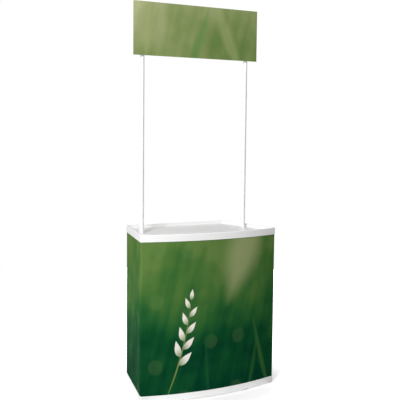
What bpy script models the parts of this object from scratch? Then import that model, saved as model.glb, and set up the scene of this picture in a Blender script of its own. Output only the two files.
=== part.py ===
"""Knock-down promotion counter with a header sign, in metres, +Z up, standing on z = 0.

Two like trays, one turned over, close the top and bottom of a bent wall sheet. Two columns and two rear
posts carry the top tray, a shelf rides on the columns, and two poles stand in the top tray and hold the sign.
"""

import math

import bmesh
import bpy
from mathutils import Matrix, Vector

# Plan of the trays: a bowed front, straight sides that close in towards the back, and an open back
FRONT_WIDTH = 0.869
SIDE_TAPER = 0.102
DEPTH = 0.450
FRONT_BOW = 0.0645
CORNER_RADIUS = 0.010
INNER_RADIUS = 0.004

# Trays: a skirt, a channel for the wall sheet, a rounded rim and a sunken floor
TRAY_HEIGHT = 0.040
FLOOR_DROP = 0.0175
SKIRT_WALL = 0.0022
CHANNEL_WIDTH = 0.0063
CHANNEL_ROOF = 0.003
INNER_WALL = 0.0035
FLOOR_WALL = 0.0035
RIM_ROUND = 0.005
FLOOR_FILLET = 0.005
BOSS_HEIGHT = 0.008
BOSS_LIP = 0.001
RIB_WALL = 0.002
RIB_HEIGHT = 0.012
RIB_INSET = 0.026
RIB_CLEAR = 0.020
CROSS_RIBS = 5
LONG_RIBS = 2

# Rubber pads under the base
PAD_HEIGHT = 0.002
PAD_LENGTH = 0.050
PAD_WIDTH = 0.005

# Wall sheet and the printed film on it
WALL_SHOW = 0.857
SHEET = 0.002
FILM = 0.0005
FILM_LAP = 0.010
RETURN_FLANGE = 0.034

# Columns inside the counter and poles above it are the same tube
TUBE = 0.025
TUBE_WALL = 0.0015
POLE_EDGE = 0.0505
POLE_SETBACK = 0.2135
JOINER_LENGTH = 0.120
POLE_CAP_RISE = 0.003
POLE_CAP_PLUG = 0.015

# Sockets that are screwed to the trays and take the tubes
SOCKET_WALL = 0.004
FLANGE = 0.004
FLANGE_LIP = 0.0025
FOOT_SOCKET_LENGTH = 0.050
POLE_SEAT_DEPTH = 0.060
SOCKET_STOP = 0.003
COLUMN_SEAT_DEPTH = 0.025
SOCKET_SCREW_GAP = 0.0017

# Rear posts and the rivets that hold the wall sheet to them
POST = 0.020
POST_WALL = 0.0015
POST_SETBACK = 0.002
PLUG_SLACK = 0.0016
PLUG_HEIGHT = 0.015
RIVET_HEIGHTS = (0.260, 0.690)
RIVET_RADIUS = 0.0025
RIVET_HEAD_RADIUS = 0.006
RIVET_HEAD = 0.0018
RIVET_TAIL = 0.002

# Shelf, its bushes, the collars on the columns and the brackets on the posts
SHELF_HEIGHT = 0.4675
SHELF_WALL = 0.003
SHELF_SKIRT = 0.020
SHELF_GAP = 0.004
SHELF_NOTCH = 0.002
SHELF_RIB = 0.013
BUSH_WALL = 0.004
BUSH_FLANGE = 0.004
BUSH_FOOT = 0.002
COLLAR_RADIUS = 0.024
COLLAR_HEIGHT = 0.014
THUMB_RADIUS = 0.006
THUMB_LENGTH = 0.006
BRACKET_WIDTH = 0.012
BRACKET_DEPTH = 0.024
BRACKET_HEIGHT = 0.024
BRACKET_EDGE = 0.001
BRACKET_SCREW_TAIL = 0.003

# Header sign, held to the poles by spring clips on foam tape
HEADER_WIDTH = 0.800
HEADER_HEIGHT = 0.296
HEADER_BOARD = 0.004
HEADER_RISE = 0.9825
POLE_BELOW_TOP = 0.020
CLIP_WALL = 0.003
CLIP_PLATE = 0.003
CLIP_PLATE_WIDTH = 0.044
CLIP_HEIGHT = 0.026
CLIP_MARGIN = 0.050
CLIP_MOUTH_DEG = 100
TAPE = 0.001
TAPE_MARGIN = 0.003

# Screws of one size everywhere
SCREW_RADIUS = 0.002
SCREW_HEAD_RADIUS = 0.004
SCREW_HEAD = 0.0025
SCREW_CROWN_RADIUS = 0.0024
SCREW_BITE = 0.006

# Clearances
FIT = 0.0003
SLIDE = 0.0005

# Facets
FRONT_STEPS = 12
CORNER_STEPS = 4
ROUND_STEPS = 3
TUBE_SIDES = 24
SCREW_SIDES = 12
CLIP_STEPS = 8
SMOOTH_DEG = 35

# Values worked out from the sizes above
HALF_FRONT = FRONT_WIDTH / 2
HALF_BACK = HALF_FRONT - SIDE_TAPER
FRONT_Y = -(DEPTH - FRONT_BOW) / 2
BACK_Y = FRONT_Y + DEPTH
BOW_RADIUS = (HALF_FRONT**2 + FRONT_BOW**2) / (2 * FRONT_BOW)
BOW_CENTRE = Vector((0, FRONT_Y - FRONT_BOW + BOW_RADIUS))
SIDE_NORMAL = Vector((DEPTH, HALF_FRONT - HALF_BACK)).normalized()
SIDE_OFFSET = SIDE_NORMAL.dot(Vector((HALF_FRONT, FRONT_Y)))

RIM_WIDTH = SKIRT_WALL + CHANNEL_WIDTH + INNER_WALL
FLOOR_UNDER = FLOOR_DROP + FLOOR_WALL
TRAY_TOP = PAD_HEIGHT + TRAY_HEIGHT + WALL_SHOW + TRAY_HEIGHT
DECK_Z = PAD_HEIGHT + FLOOR_UNDER
CEILING_Z = TRAY_TOP - FLOOR_UNDER

FILM_OUTER = SKIRT_WALL + FIT
FILM_INNER = FILM_OUTER + FILM
SHEET_OUTER = FILM_INNER + FIT
SHEET_INNER = SHEET_OUTER + SHEET

TUBE_RADIUS = TUBE / 2
TUBE_BORE = TUBE_RADIUS - TUBE_WALL
SEAT_RADIUS = TUBE_RADIUS + FIT
POLE_Y = FRONT_Y + POLE_SETBACK
POLE_X = (SIDE_OFFSET - SIDE_NORMAL.y * POLE_Y) / SIDE_NORMAL.x - POLE_EDGE
SCREW_HOLE = SCREW_RADIUS + FIT
SLEEVE_RADIUS = SEAT_RADIUS + SOCKET_WALL
SOCKET_SCREW_REACH = SLEEVE_RADIUS + SOCKET_SCREW_GAP + SCREW_HEAD_RADIUS
FLANGE_RADIUS = SOCKET_SCREW_REACH + SCREW_HEAD_RADIUS + FLANGE_LIP
BOSS_RADIUS = FLANGE_RADIUS + BOSS_LIP

HEADER_BOTTOM = TRAY_TOP + HEADER_RISE
HEADER_TOP = HEADER_BOTTOM + HEADER_HEIGHT
POLE_FOOT_Z = CEILING_Z - BOSS_HEIGHT - FIT - POLE_SEAT_DEPTH + FIT
POLE_TOP_Z = HEADER_TOP - POLE_BELOW_TOP
POLE_SPLIT_Z = (POLE_FOOT_Z + POLE_TOP_Z) / 2

HANDS = {"left": -1, "right": 1}


# Shared shapes

def finish(name, colour, roughness, metallic=0.0):
    """A plain Principled material."""
    material = bpy.data.materials.new(name)
    material.use_nodes = True
    shader = material.node_tree.nodes["Principled BSDF"]
    shader.inputs["Base Color"].default_value = (*colour, 1.0)
    shader.inputs["Roughness"].default_value = roughness
    shader.inputs["Metallic"].default_value = metallic
    return material


def add_object(name, shape, material, parent=None, place=(0, 0, 0), turn=(0, 0, 0)):
    """An object from a bmesh, or another object that shares a mesh already made."""
    if isinstance(shape, bmesh.types.BMesh):
        bmesh.ops.recalc_face_normals(shape, faces=shape.faces[:])
        mesh = bpy.data.meshes.new(name)
        shape.to_mesh(mesh)
        shape.free()
        mesh.shade_smooth()
        mesh.set_sharp_from_angle(angle=math.radians(SMOOTH_DEG))
    else:
        mesh = shape
    if material and not mesh.materials:
        mesh.materials.append(material)
    obj = bpy.data.objects.new(name, mesh)
    bpy.context.scene.collection.objects.link(obj)
    obj.parent = parent
    obj.location = place
    obj.rotation_euler = turn
    return obj


def loft(loops, ring=False):
    """A closed skin through loops of like point counts, capped at both ends or joined into a ring."""
    bm = bmesh.new()
    rows = [[bm.verts.new(point) for point in loop] for loop in loops]
    pairs = list(zip(rows, rows[1:]))
    if ring:
        pairs.append((rows[-1], rows[0]))
    else:
        bm.faces.new(rows[0])
        bm.faces.new(rows[-1])
    for lower, upper in pairs:
        for k in range(len(lower)):
            n = (k + 1) % len(lower)
            bm.faces.new((lower[k], lower[n], upper[n], upper[k]))
    return bm


def circle(radius, z, sides=TUBE_SIDES):
    """Points of a level circle about the Z axis."""
    turns = [2 * math.pi * k / sides for k in range(sides)]
    return [(radius * math.cos(a), radius * math.sin(a), z) for a in turns]


def turned(profile, ring=False, sides=TUBE_SIDES):
    """A turned shape from (radius, height) points: solid, or a ring about an open bore."""
    return loft([circle(radius, z, sides) for radius, z in profile], ring)


def tube(outer, bore, bottom, top):
    """A plain round tube."""
    return turned([(outer, bottom), (outer, top), (bore, top), (bore, bottom)], ring=True)


def block(low, high):
    """A box between two corners."""
    bm = bmesh.new()
    size = Vector(high) - Vector(low)
    middle = (Vector(high) + Vector(low)) / 2
    bmesh.ops.create_cube(bm, size=1, matrix=Matrix.Translation(middle) @ Matrix.Diagonal((*size, 1)))
    return bm


def prism(points, bottom, top):
    """A flat outline raised between two heights."""
    return loft([[(x, y, z) for x, y in points] for z in (bottom, top)])


def gather(shapes):
    """Several separate shapes in one bmesh, for use as one tool."""
    whole = bmesh.new()
    for shape in shapes:
        bmesh.ops.recalc_face_normals(shape, faces=shape.faces[:])
        mesh = bpy.data.meshes.new("tool_part")
        shape.to_mesh(mesh)
        shape.free()
        whole.from_mesh(mesh)
        bpy.data.meshes.remove(mesh)
    return whole


def combine(obj, shape, operation):
    """Joins a tool shape to an object or cuts it away, as a live Boolean."""
    tool = add_object(f"tool_{obj.name}_{len(obj.modifiers)}", shape, None)
    tool.hide_render = True
    tool.display_type = "WIRE"
    modifier = obj.modifiers.new(operation.lower(), "BOOLEAN")
    modifier.operation = operation
    modifier.solver = "EXACT"
    modifier.object = tool


def moved(shape, place, turn=None):
    """A bmesh turned and then moved to its place."""
    matrix = Matrix.Translation(place) @ (turn or Matrix.Identity(4))
    bmesh.ops.transform(shape, matrix=matrix, verts=shape.verts[:])
    return shape


def arc(centre, radius, start, end, steps):
    """Points along an arc from one angle to another."""
    angles = [start + (end - start) * k / steps for k in range(steps + 1)]
    return [(centre[0] + radius * math.cos(a), centre[1] + radius * math.sin(a)) for a in angles]


def screw(length):
    """A pan-head screw along Z, its shank below zero and its head above."""
    shank = [(SCREW_RADIUS, -length), (SCREW_RADIUS, 0)]
    head = [(SCREW_HEAD_RADIUS, 0), (SCREW_HEAD_RADIUS, SCREW_HEAD / 2), (SCREW_CROWN_RADIUS, SCREW_HEAD)]
    return turned(shank + head, sides=SCREW_SIDES)


def drill(radius, bottom, top, place, turn=None):
    """A round cutter between two heights, moved to its place."""
    return moved(turned([(radius, bottom), (radius, top)], sides=SCREW_SIDES), place, turn)


# Plan of the counter

def bow_y(x, inset):
    """Depth of the bowed front at one width, set in from its outer face."""
    return BOW_CENTRE.y - math.sqrt((BOW_RADIUS - inset) ** 2 - x**2)


def front_corner(inset):
    """Where the set-in bow and the set-in right side would meet without a round."""
    along = SIDE_OFFSET - inset - SIDE_NORMAL.dot(BOW_CENTRE)
    across = math.sqrt((BOW_RADIUS - inset) ** 2 - along**2)
    side_forward = Vector((SIDE_NORMAL.y, -SIDE_NORMAL.x))
    return BOW_CENTRE + SIDE_NORMAL * along + side_forward * across


def back_corner(inset):
    """Where the set-in right side and the set-in back would meet without a round."""
    y = BACK_Y - inset
    return Vector(((SIDE_OFFSET - inset - SIDE_NORMAL.y * y) / SIDE_NORMAL.x, y))


def outline(inset):
    """Plan points from the back left corner round the front to the back right one, set in from the skirt."""
    radius = max(CORNER_RADIUS - inset, INNER_RADIUS)
    front, back = front_corner(inset + radius), back_corner(inset + radius)
    bow_end = math.atan2(front.y - BOW_CENTRE.y, front.x)
    side = math.atan2(SIDE_NORMAL.y, SIDE_NORMAL.x)
    right = arc(BOW_CENTRE, BOW_RADIUS - inset, -math.pi / 2, bow_end, FRONT_STEPS)[1:-1]
    right += arc(front, radius, bow_end, side, CORNER_STEPS)
    right += arc(back, radius, side, math.pi / 2, CORNER_STEPS)
    left = [(-x, y) for x, y in reversed(right)]
    return left + [(0, BOW_CENTRE.y - BOW_RADIUS + inset)] + right


def sheet_ring(outer, inner, bottom, top):
    """An open strip between two plan lines, standing between two heights."""
    sections = [[(*a, bottom), (*b, bottom), (*b, top), (*a, top)] for a, b in zip(outer, inner)]
    return loft(sections)


def post_centre():
    """Plan centre of the right rear post, tucked into the corner of the wall sheet."""
    corner = back_corner(SHEET_INNER + POST_SETBACK)
    return Vector((corner.x - POST / 2, corner.y - POST / 2))


# Trays

def tray_section():
    """(inset, drop) points of a tray from its floor over the rim, round the skirt, to its underside."""
    right = math.pi / 2
    fillet = (RIM_WIDTH + FLOOR_FILLET, FLOOR_DROP - FLOOR_FILLET)
    points = arc(fillet, FLOOR_FILLET, right, 2 * right, ROUND_STEPS)
    points += arc((RIM_WIDTH - RIM_ROUND, RIM_ROUND), RIM_ROUND, 0, -right, ROUND_STEPS)
    points += arc((RIM_ROUND, RIM_ROUND), RIM_ROUND, -right, -2 * right, ROUND_STEPS)
    points += [(0, TRAY_HEIGHT), (SKIRT_WALL, TRAY_HEIGHT), (SKIRT_WALL, CHANNEL_ROOF)]
    points += [(SKIRT_WALL + CHANNEL_WIDTH, CHANNEL_ROOF), (SKIRT_WALL + CHANNEL_WIDTH, FLOOR_UNDER)]
    return points


def tray(name, material, parent, rim_z, down):
    """A tray whose rim is at rim_z and whose drops run down (-1) or, turned over, up (+1)."""

    def level(drop):
        return rim_z + down * drop

    loops = [[(x, y, level(drop)) for x, y in outline(inset)] for inset, drop in tray_section()]
    obj = add_object(name, loft(loops), material, parent)
    root = FLOOR_DROP + FLOOR_WALL / 2
    post = post_centre()
    plug = POST / 2 - POST_WALL - PLUG_SLACK
    bosses = []
    for sign in HANDS.values():
        boss = turned([(BOSS_RADIUS, level(root)), (BOSS_RADIUS, level(FLOOR_UNDER + BOSS_HEIGHT))])
        bosses.append(moved(boss, (sign * POLE_X, POLE_Y, 0)))
        low = (sign * post.x - plug, post.y - plug, level(root))
        high = (sign * post.x + plug, post.y + plug, level(FLOOR_UNDER + PLUG_HEIGHT))
        bosses.append(block(low, high))
    combine(obj, gather(bosses), "UNION")
    combine(obj, gather(rib_shapes(level, root, False)), "UNION")
    combine(obj, gather(rib_shapes(level, root, True)), "UNION")
    boss_face = level(FLOOR_UNDER + BOSS_HEIGHT)
    pilots = []
    for sign in HANDS.values():
        for reach in (-SOCKET_SCREW_REACH, SOCKET_SCREW_REACH):
            ends = sorted((boss_face - down * (SCREW_BITE + FIT), boss_face + down * FIT))
            pilots.append(drill(SCREW_HOLE, *ends, (sign * POLE_X, POLE_Y + reach, 0)))
    combine(obj, gather(pilots), "DIFFERENCE")
    return obj


def rib_shapes(level, root, lengthways):
    """Stiffening ribs on a tray's hidden face, kept clear of the sockets."""
    tip = FLOOR_UNDER + RIB_HEIGHT
    reach = POLE_X - BOSS_RADIUS - RIB_CLEAR
    half = RIB_WALL / 2
    back = BACK_Y - RIB_INSET
    shapes = []
    if lengthways:
        front = bow_y(reach, RIB_INSET)
        for k in range(LONG_RIBS):
            y = front + (back - front) * (k + 1) / (LONG_RIBS + 1)
            shapes.append(block((-reach, y - half, level(root)), (reach, y + half, level(tip))))
    else:
        for k in range(CROSS_RIBS):
            x = reach * (2 * (k + 1) / (CROSS_RIBS + 1) - 1)
            front = bow_y(x, RIB_INSET)
            shapes.append(block((x - half, front, level(root)), (x + half, back, level(tip))))
    return shapes


def top_tray(material, parent):
    """The counter top, with a hole for each pole."""
    obj = tray("top_tray", material, parent, TRAY_TOP, -1)
    low, high = CEILING_Z - BOSS_HEIGHT - FLOOR_WALL, TRAY_TOP
    holes = [turned([(SEAT_RADIUS, low), (SEAT_RADIUS, high)]) for _ in HANDS]
    placed = [moved(hole, (sign * POLE_X, POLE_Y, 0)) for hole, sign in zip(holes, HANDS.values())]
    combine(obj, gather(placed), "DIFFERENCE")


def base_pads(material, parent):
    """Six rubber strips on the rim of the base: two at the front, one at each side, two at the back."""
    middle = RIM_WIDTH / 2
    front, back = front_corner(middle), back_corner(middle)
    side_turn = math.atan2(SIDE_NORMAL.y, SIDE_NORMAL.x) + math.pi / 2
    bow_x = front.x / 2
    bow_turn = math.asin(bow_x / (BOW_RADIUS - middle))
    spots = [(bow_x, bow_y(bow_x, middle), bow_turn)]
    spots += [((front.x + back.x) / 2, (front.y + back.y) / 2, side_turn)]
    spots += [(back.x - PAD_LENGTH, back.y, 0)]
    corner = Vector((PAD_LENGTH, PAD_WIDTH, 0)) / 2
    mesh = None
    for word, sign in HANDS.items():
        for place, (x, y, turn) in zip(("front", "side", "back"), spots):
            shape = mesh or block(-corner, corner + Vector((0, 0, PAD_HEIGHT - FIT)))
            pad = add_object(f"base_pad_{place}_{word}", shape, material, parent, (sign * x, y, 0))
            pad.rotation_euler.z = sign * turn
            mesh = pad.data


# Wall sheet, film, rear posts and rivets

def wall_sheet(material, parent):
    """The bent plastic sheet that stands in both channels and folds a little way round the back."""
    ends = []
    for inset in (SHEET_OUTER, SHEET_INNER):
        end = back_corner(0).x - RETURN_FLANGE
        y = BACK_Y - inset
        ends.append([(-end, y), *outline(inset), (end, y)])
    bottom, top = PAD_HEIGHT + CHANNEL_ROOF + FIT, TRAY_TOP - CHANNEL_ROOF - FIT
    obj = add_object("wall_panel", sheet_ring(*ends, bottom, top), material, parent)
    combine(obj, gather(rivet_drills(BACK_Y - SHEET_OUTER + FIT, BACK_Y - SHEET_INNER - FIT)), "DIFFERENCE")


def rivet_drills(back, front):
    """Cutters for the rivet shanks, from one depth to another."""
    lie_down = Matrix.Rotation(-math.pi / 2, 4, "X")
    spots = [(sign * post_centre().x, back, z) for sign in HANDS.values() for z in RIVET_HEIGHTS]
    return [drill(RIVET_RADIUS + FIT, front - back, 0, spot, lie_down) for spot in spots]


def wall_film(material, parent):
    """The printed film on the front and sides, ending just round the back corners."""
    bottom = PAD_HEIGHT + TRAY_HEIGHT - FILM_LAP
    top = TRAY_TOP - TRAY_HEIGHT + FILM_LAP
    shape = sheet_ring(outline(FILM_OUTER), outline(FILM_INNER), bottom, top)
    add_object("wall_graphic", shape, material, parent)


def rear_posts(material, parent):
    """Square tubes in the back corners, between the two trays."""
    bottom, top = DECK_Z + FIT, CEILING_Z - FIT
    centre = post_centre()
    for word, sign in HANDS.items():
        outer, bore = POST / 2, POST / 2 - POST_WALL
        loops = []
        for half, z in ((outer, bottom), (outer, top), (bore, top), (bore, bottom)):
            loops.append([(-half, -half, z), (half, -half, z), (half, half, z), (-half, half, z)])
        post = add_object(f"rear_post_{word}", loft(loops, ring=True), material, parent)
        post.data.transform(Matrix.Translation((sign * centre.x, centre.y, 0)))
        face = centre.y + POST / 2
        cuts = rivet_drills(face + FIT, face - POST_WALL - FIT)
        bore = Matrix.Rotation(-math.pi / 2, 4, "X")
        front = centre.y - POST / 2
        bolt = (sign * centre.x, front - FIT, bracket_middle())
        cuts.append(drill(SCREW_HOLE, 0, POST_WALL + 2 * FIT, bolt, bore))
        combine(post, gather(cuts), "DIFFERENCE")


def panel_rivets(material, parent):
    """Push rivets through the sheet's folded edge into the posts, heads to the back."""
    head_y = BACK_Y - SHEET_OUTER + FIT
    tail = head_y - (post_centre().y + POST / 2 - POST_WALL) + RIVET_TAIL
    profile = [(RIVET_RADIUS, -tail), (RIVET_RADIUS, 0), (RIVET_HEAD_RADIUS, 0)]
    profile += [(RIVET_HEAD_RADIUS, RIVET_HEAD / 2), (RIVET_HEAD_RADIUS / 2, RIVET_HEAD)]
    mesh = None
    for word, sign in HANDS.items():
        for number, z in enumerate(RIVET_HEIGHTS, 1):
            shape = mesh or turned(profile, sides=SCREW_SIDES)
            place = (sign * post_centre().x, head_y, z)
            rivet = add_object(f"panel_rivet_{word}_{number}", shape, material, parent, place)
            rivet.rotation_euler.x = -math.pi / 2
            mesh = rivet.data


# Sockets, columns and poles

def socket_section(length, seat=None):
    """(radius, height) ring of a socket: a flange, a sleeve and, past the seat, a stop and a second seat."""
    points = [(SEAT_RADIUS, 0), (FLANGE_RADIUS, 0), (FLANGE_RADIUS, FLANGE), (SLEEVE_RADIUS, FLANGE)]
    points += [(SLEEVE_RADIUS, length), (SEAT_RADIUS, length)]
    if seat:
        points += [(SEAT_RADIUS, seat + SOCKET_STOP), (TUBE_BORE, seat + SOCKET_STOP)]
        points += [(TUBE_BORE, seat), (SEAT_RADIUS, seat)]
    return points


def sockets(name, section, material, screw_material, parent, face_z, over):
    """A pair of sockets on a tray's bosses, each with two screws; turned over where they hang down."""
    turn = (math.pi, 0, 0) if over else (0, 0, 0)
    side = -1 if over else 1
    for word, sign in HANDS.items():
        place = (sign * POLE_X, POLE_Y, face_z + side * FIT)
        obj = add_object(f"{name}_{word}", turned(section, ring=True), material, parent, place, turn)
        holes = []
        for number, reach in enumerate((-SOCKET_SCREW_REACH, SOCKET_SCREW_REACH), 1):
            spot = (place[0], place[1] + reach, place[2])
            low, high = sorted((-side * FIT, side * (FLANGE + FIT)))
            holes.append(drill(SCREW_HOLE, low, high, spot))
            head = (spot[0], spot[1], spot[2] + side * (FLANGE + FIT))
            length = FLANGE + 2 * FIT + SCREW_BITE - FIT
            add_object(f"{name}_screw_{word}_{number}", screw(length), screw_material, parent, head, turn)
        combine(obj, gather(holes), "DIFFERENCE")


def columns(material, parent):
    """The tubes inside the counter, from the base's bosses up to the stops in the pole sockets."""
    bottom = DECK_Z + BOSS_HEIGHT + FIT
    top = POLE_FOOT_Z - FIT - SOCKET_STOP - FIT
    mesh = None
    for word, sign in HANDS.items():
        shape = mesh or tube(TUBE_RADIUS, TUBE_BORE, 0, top - bottom)
        mesh = add_object(f"column_{word}", shape, material, parent, (sign * POLE_X, POLE_Y, bottom)).data


def poles(tube_material, joiner_material, cap_material, parent):
    """Two poles of two lengths each, with a hidden joiner and a cap on top."""
    joint = FIT / 2
    lengths = {"lower": (POLE_FOOT_Z, POLE_SPLIT_Z - joint), "upper": (POLE_SPLIT_Z + joint, POLE_TOP_Z)}
    plug = TUBE_BORE - FIT
    cap = [(plug, -POLE_CAP_PLUG), (plug, FIT), (TUBE_RADIUS, FIT), (TUBE_RADIUS, POLE_CAP_RISE / 2)]
    cap += [(TUBE_RADIUS - POLE_CAP_RISE / 2, POLE_CAP_RISE)]
    for word, sign in HANDS.items():
        x = sign * POLE_X
        for length, (bottom, top) in lengths.items():
            shape = tube(TUBE_RADIUS, TUBE_BORE, 0, top - bottom)
            add_object(f"pole_{length}_{word}", shape, tube_material, parent, (x, POLE_Y, bottom))
        half = JOINER_LENGTH / 2
        shape = tube(plug, plug - TUBE_WALL, -half, half)
        add_object(f"pole_joiner_{word}", shape, joiner_material, parent, (x, POLE_Y, POLE_SPLIT_Z))
        add_object(f"pole_cap_{word}", turned(cap), cap_material, parent, (x, POLE_Y, POLE_TOP_Z))


# Shelf

def bracket_middle():
    """Height of the screw through a shelf bracket."""
    return SHELF_HEIGHT - SHELF_WALL - FIT - BRACKET_HEIGHT / 2


def shelf(material, bush_material, parent):
    """A moulded shelf with a skirt, ribs and corner notches, and a bush from below at each column."""
    edge = SHEET_INNER + SHELF_GAP
    top, under = SHELF_HEIGHT, SHELF_HEIGHT - SHELF_WALL
    section = [(edge + SHELF_WALL, top), (edge, top - SHELF_WALL), (edge, top - SHELF_SKIRT)]
    section += [(edge + SHELF_WALL, top - SHELF_SKIRT), (edge + SHELF_WALL, under)]
    loops = [[(x, y, z) for x, y in outline(inset)] for inset, z in section]
    obj = add_object("shelf", loft(loops), material, parent)
    reach = POLE_X - BOSS_RADIUS - RIB_CLEAR
    tip = under - SHELF_RIB
    ribs = []
    for k in range(CROSS_RIBS):
        x = reach * (2 * (k + 1) / (CROSS_RIBS + 1) - 1)
        front, back = bow_y(x, edge + RIB_INSET), BACK_Y - edge - RIB_INSET
        half = RIB_WALL / 2
        ribs.append(block((x - half, front, tip), (x + half, back, top - SHELF_WALL / 2)))
    combine(obj, gather(ribs), "UNION")
    post, notch = post_centre(), POST / 2 + SHELF_NOTCH
    bush = TUBE_RADIUS + SLIDE + BUSH_WALL
    cuts = []
    for sign in HANDS.values():
        hole = turned([(bush + FIT, under - SHELF_WALL), (bush + FIT, top + SHELF_WALL)])
        cuts.append(moved(hole, (sign * POLE_X, POLE_Y, 0)))
        corner = block((-notch, -notch, under - SHELF_SKIRT), (POST, POST, top + SHELF_WALL))
        mirror = Matrix.Diagonal((sign, 1, 1, 1))
        cuts.append(moved(corner, (sign * post.x, post.y, 0), mirror))
    combine(obj, gather(cuts), "DIFFERENCE")
    bore, flange = TUBE_RADIUS + SLIDE, bush + BUSH_FLANGE
    seat = -SHELF_WALL - FIT
    ring = [(bore, seat - BUSH_FOOT), (flange, seat - BUSH_FOOT), (flange, seat), (bush, seat)]
    ring += [(bush, -FIT), (bore, -FIT)]
    for word, sign in HANDS.items():
        place = (sign * POLE_X, POLE_Y, SHELF_HEIGHT)
        add_object(f"shelf_bush_{word}", turned(ring, ring=True), bush_material, parent, place)


def shelf_collars(material, screw_material, parent):
    """Clamp rings on the columns under the shelf, each with a thumb screw on its inner side."""
    top = SHELF_HEIGHT - SHELF_WALL - FIT - BUSH_FOOT - FIT
    middle = COLLAR_HEIGHT / 2
    reach = COLLAR_RADIUS - SEAT_RADIUS
    thumb = [(SCREW_RADIUS, -reach), (SCREW_RADIUS, FIT), (THUMB_RADIUS, FIT), (THUMB_RADIUS, THUMB_LENGTH)]
    for word, sign in HANDS.items():
        place = (sign * POLE_X, POLE_Y, top - COLLAR_HEIGHT)
        ring = tube(COLLAR_RADIUS, SEAT_RADIUS, 0, COLLAR_HEIGHT)
        obj = add_object(f"shelf_collar_{word}", ring, material, parent, place)
        inward = Matrix.Rotation(-sign * math.pi / 2, 4, "Y")
        centre = (place[0], place[1], place[2] + middle)
        hole = drill(SCREW_HOLE, TUBE_RADIUS, COLLAR_RADIUS + FIT, centre, inward)
        combine(obj, gather([hole]), "DIFFERENCE")
        head = (sign * (POLE_X - COLLAR_RADIUS), POLE_Y, place[2] + middle)
        turn = (0, -sign * math.pi / 2, 0)
        shape = turned(thumb, sides=SCREW_SIDES)
        add_object(f"collar_screw_{word}", shape, screw_material, parent, head, turn)


def shelf_brackets(material, screw_material, parent):
    """Blocks screwed to the front of the posts, under the shelf's back corners."""
    post = post_centre()
    back = post.y - POST / 2 - FIT
    top = SHELF_HEIGHT - SHELF_WALL - FIT
    half = BRACKET_WIDTH / 2
    low = Vector((-half, back - BRACKET_DEPTH, top - BRACKET_HEIGHT))
    high = Vector((half, back, top))
    stand_up = Matrix.Rotation(-math.pi / 2, 4, "X")
    for word, sign in HANDS.items():
        x = sign * post.x
        shift = Vector((x, 0, 0))
        obj = add_object(f"shelf_bracket_{word}", block(low + shift, high + shift), material, parent)
        bevel = obj.modifiers.new("edges", "BEVEL")
        bevel.width = BRACKET_EDGE
        bevel.segments = 1
        face = (x, low.y, bracket_middle())
        hole = drill(SCREW_HOLE, -FIT, BRACKET_DEPTH + FIT, face, stand_up)
        combine(obj, gather([hole]), "DIFFERENCE")
        length = BRACKET_DEPTH + 2 * FIT + POST_WALL + BRACKET_SCREW_TAIL
        place = (x, low.y - FIT, bracket_middle())
        turn = (math.pi / 2, 0, 0)
        add_object(f"bracket_screw_{word}", screw(length), screw_material, parent, place, turn)


# Header sign

def clip_plan():
    """Plan of a spring clip about its pole: a ring open to the back on a flat plate at the front."""
    inner, outer = TUBE_RADIUS + SLIDE, TUBE_RADIUS + SLIDE + CLIP_WALL
    plate_front = -(outer + CLIP_PLATE / 2)
    plate_back = plate_front + CLIP_PLATE
    half = CLIP_PLATE_WIDTH / 2
    lip = math.pi / 2 - math.radians(CLIP_MOUTH_DEG) / 2
    root = math.asin(plate_back / outer)
    right = [(half, plate_front), (half, plate_back)] + arc((0, 0), outer, root, lip, CLIP_STEPS)
    left = [(-x, y) for x, y in reversed(right)]
    bore = arc((0, 0), inner, lip, -math.pi - lip, TUBE_SIDES)
    return right + bore + left


def header(board_material, film_material, clip_material, tape_material, parent):
    """The sign board and its film, with two clips on each pole."""
    plan = clip_plan()
    face = POLE_Y + min(y for _, y in plan)
    tape_front = face - FIT - TAPE
    board_back = tape_front - FIT
    board_front = board_back - HEADER_BOARD
    film_back = board_front - FIT
    half = HEADER_WIDTH / 2
    low, high = (-half, board_front, HEADER_BOTTOM), (half, board_back, HEADER_TOP)
    add_object("header_board", block(low, high), board_material, parent)
    low, high = (-half, film_back - FILM, HEADER_BOTTOM), (half, film_back, HEADER_TOP)
    add_object("header_graphic", block(low, high), film_material, parent)
    heights = {"lower": HEADER_BOTTOM + CLIP_MARGIN, "upper": HEADER_TOP - CLIP_MARGIN}
    tape_half = Vector((CLIP_PLATE_WIDTH / 2 - TAPE_MARGIN, 0, CLIP_HEIGHT / 2 - TAPE_MARGIN))
    for word, sign in HANDS.items():
        for level, z in heights.items():
            place = (sign * POLE_X, POLE_Y, z)
            shape = prism(plan, -CLIP_HEIGHT / 2, CLIP_HEIGHT / 2)
            add_object(f"header_clip_{level}_{word}", shape, clip_material, parent, place)
            tape = block(-tape_half, tape_half + Vector((0, TAPE, 0)))
            place = (sign * POLE_X, tape_front, z)
            add_object(f"clip_tape_{level}_{word}", tape, tape_material, parent, place)


# Assembly

def frame(name, parent=None):
    """An empty on the counter's upright axis that carries the pieces that move together along it."""
    empty = bpy.data.objects.new(name, None)
    bpy.context.scene.collection.objects.link(empty)
    empty.parent = parent
    return empty


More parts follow.
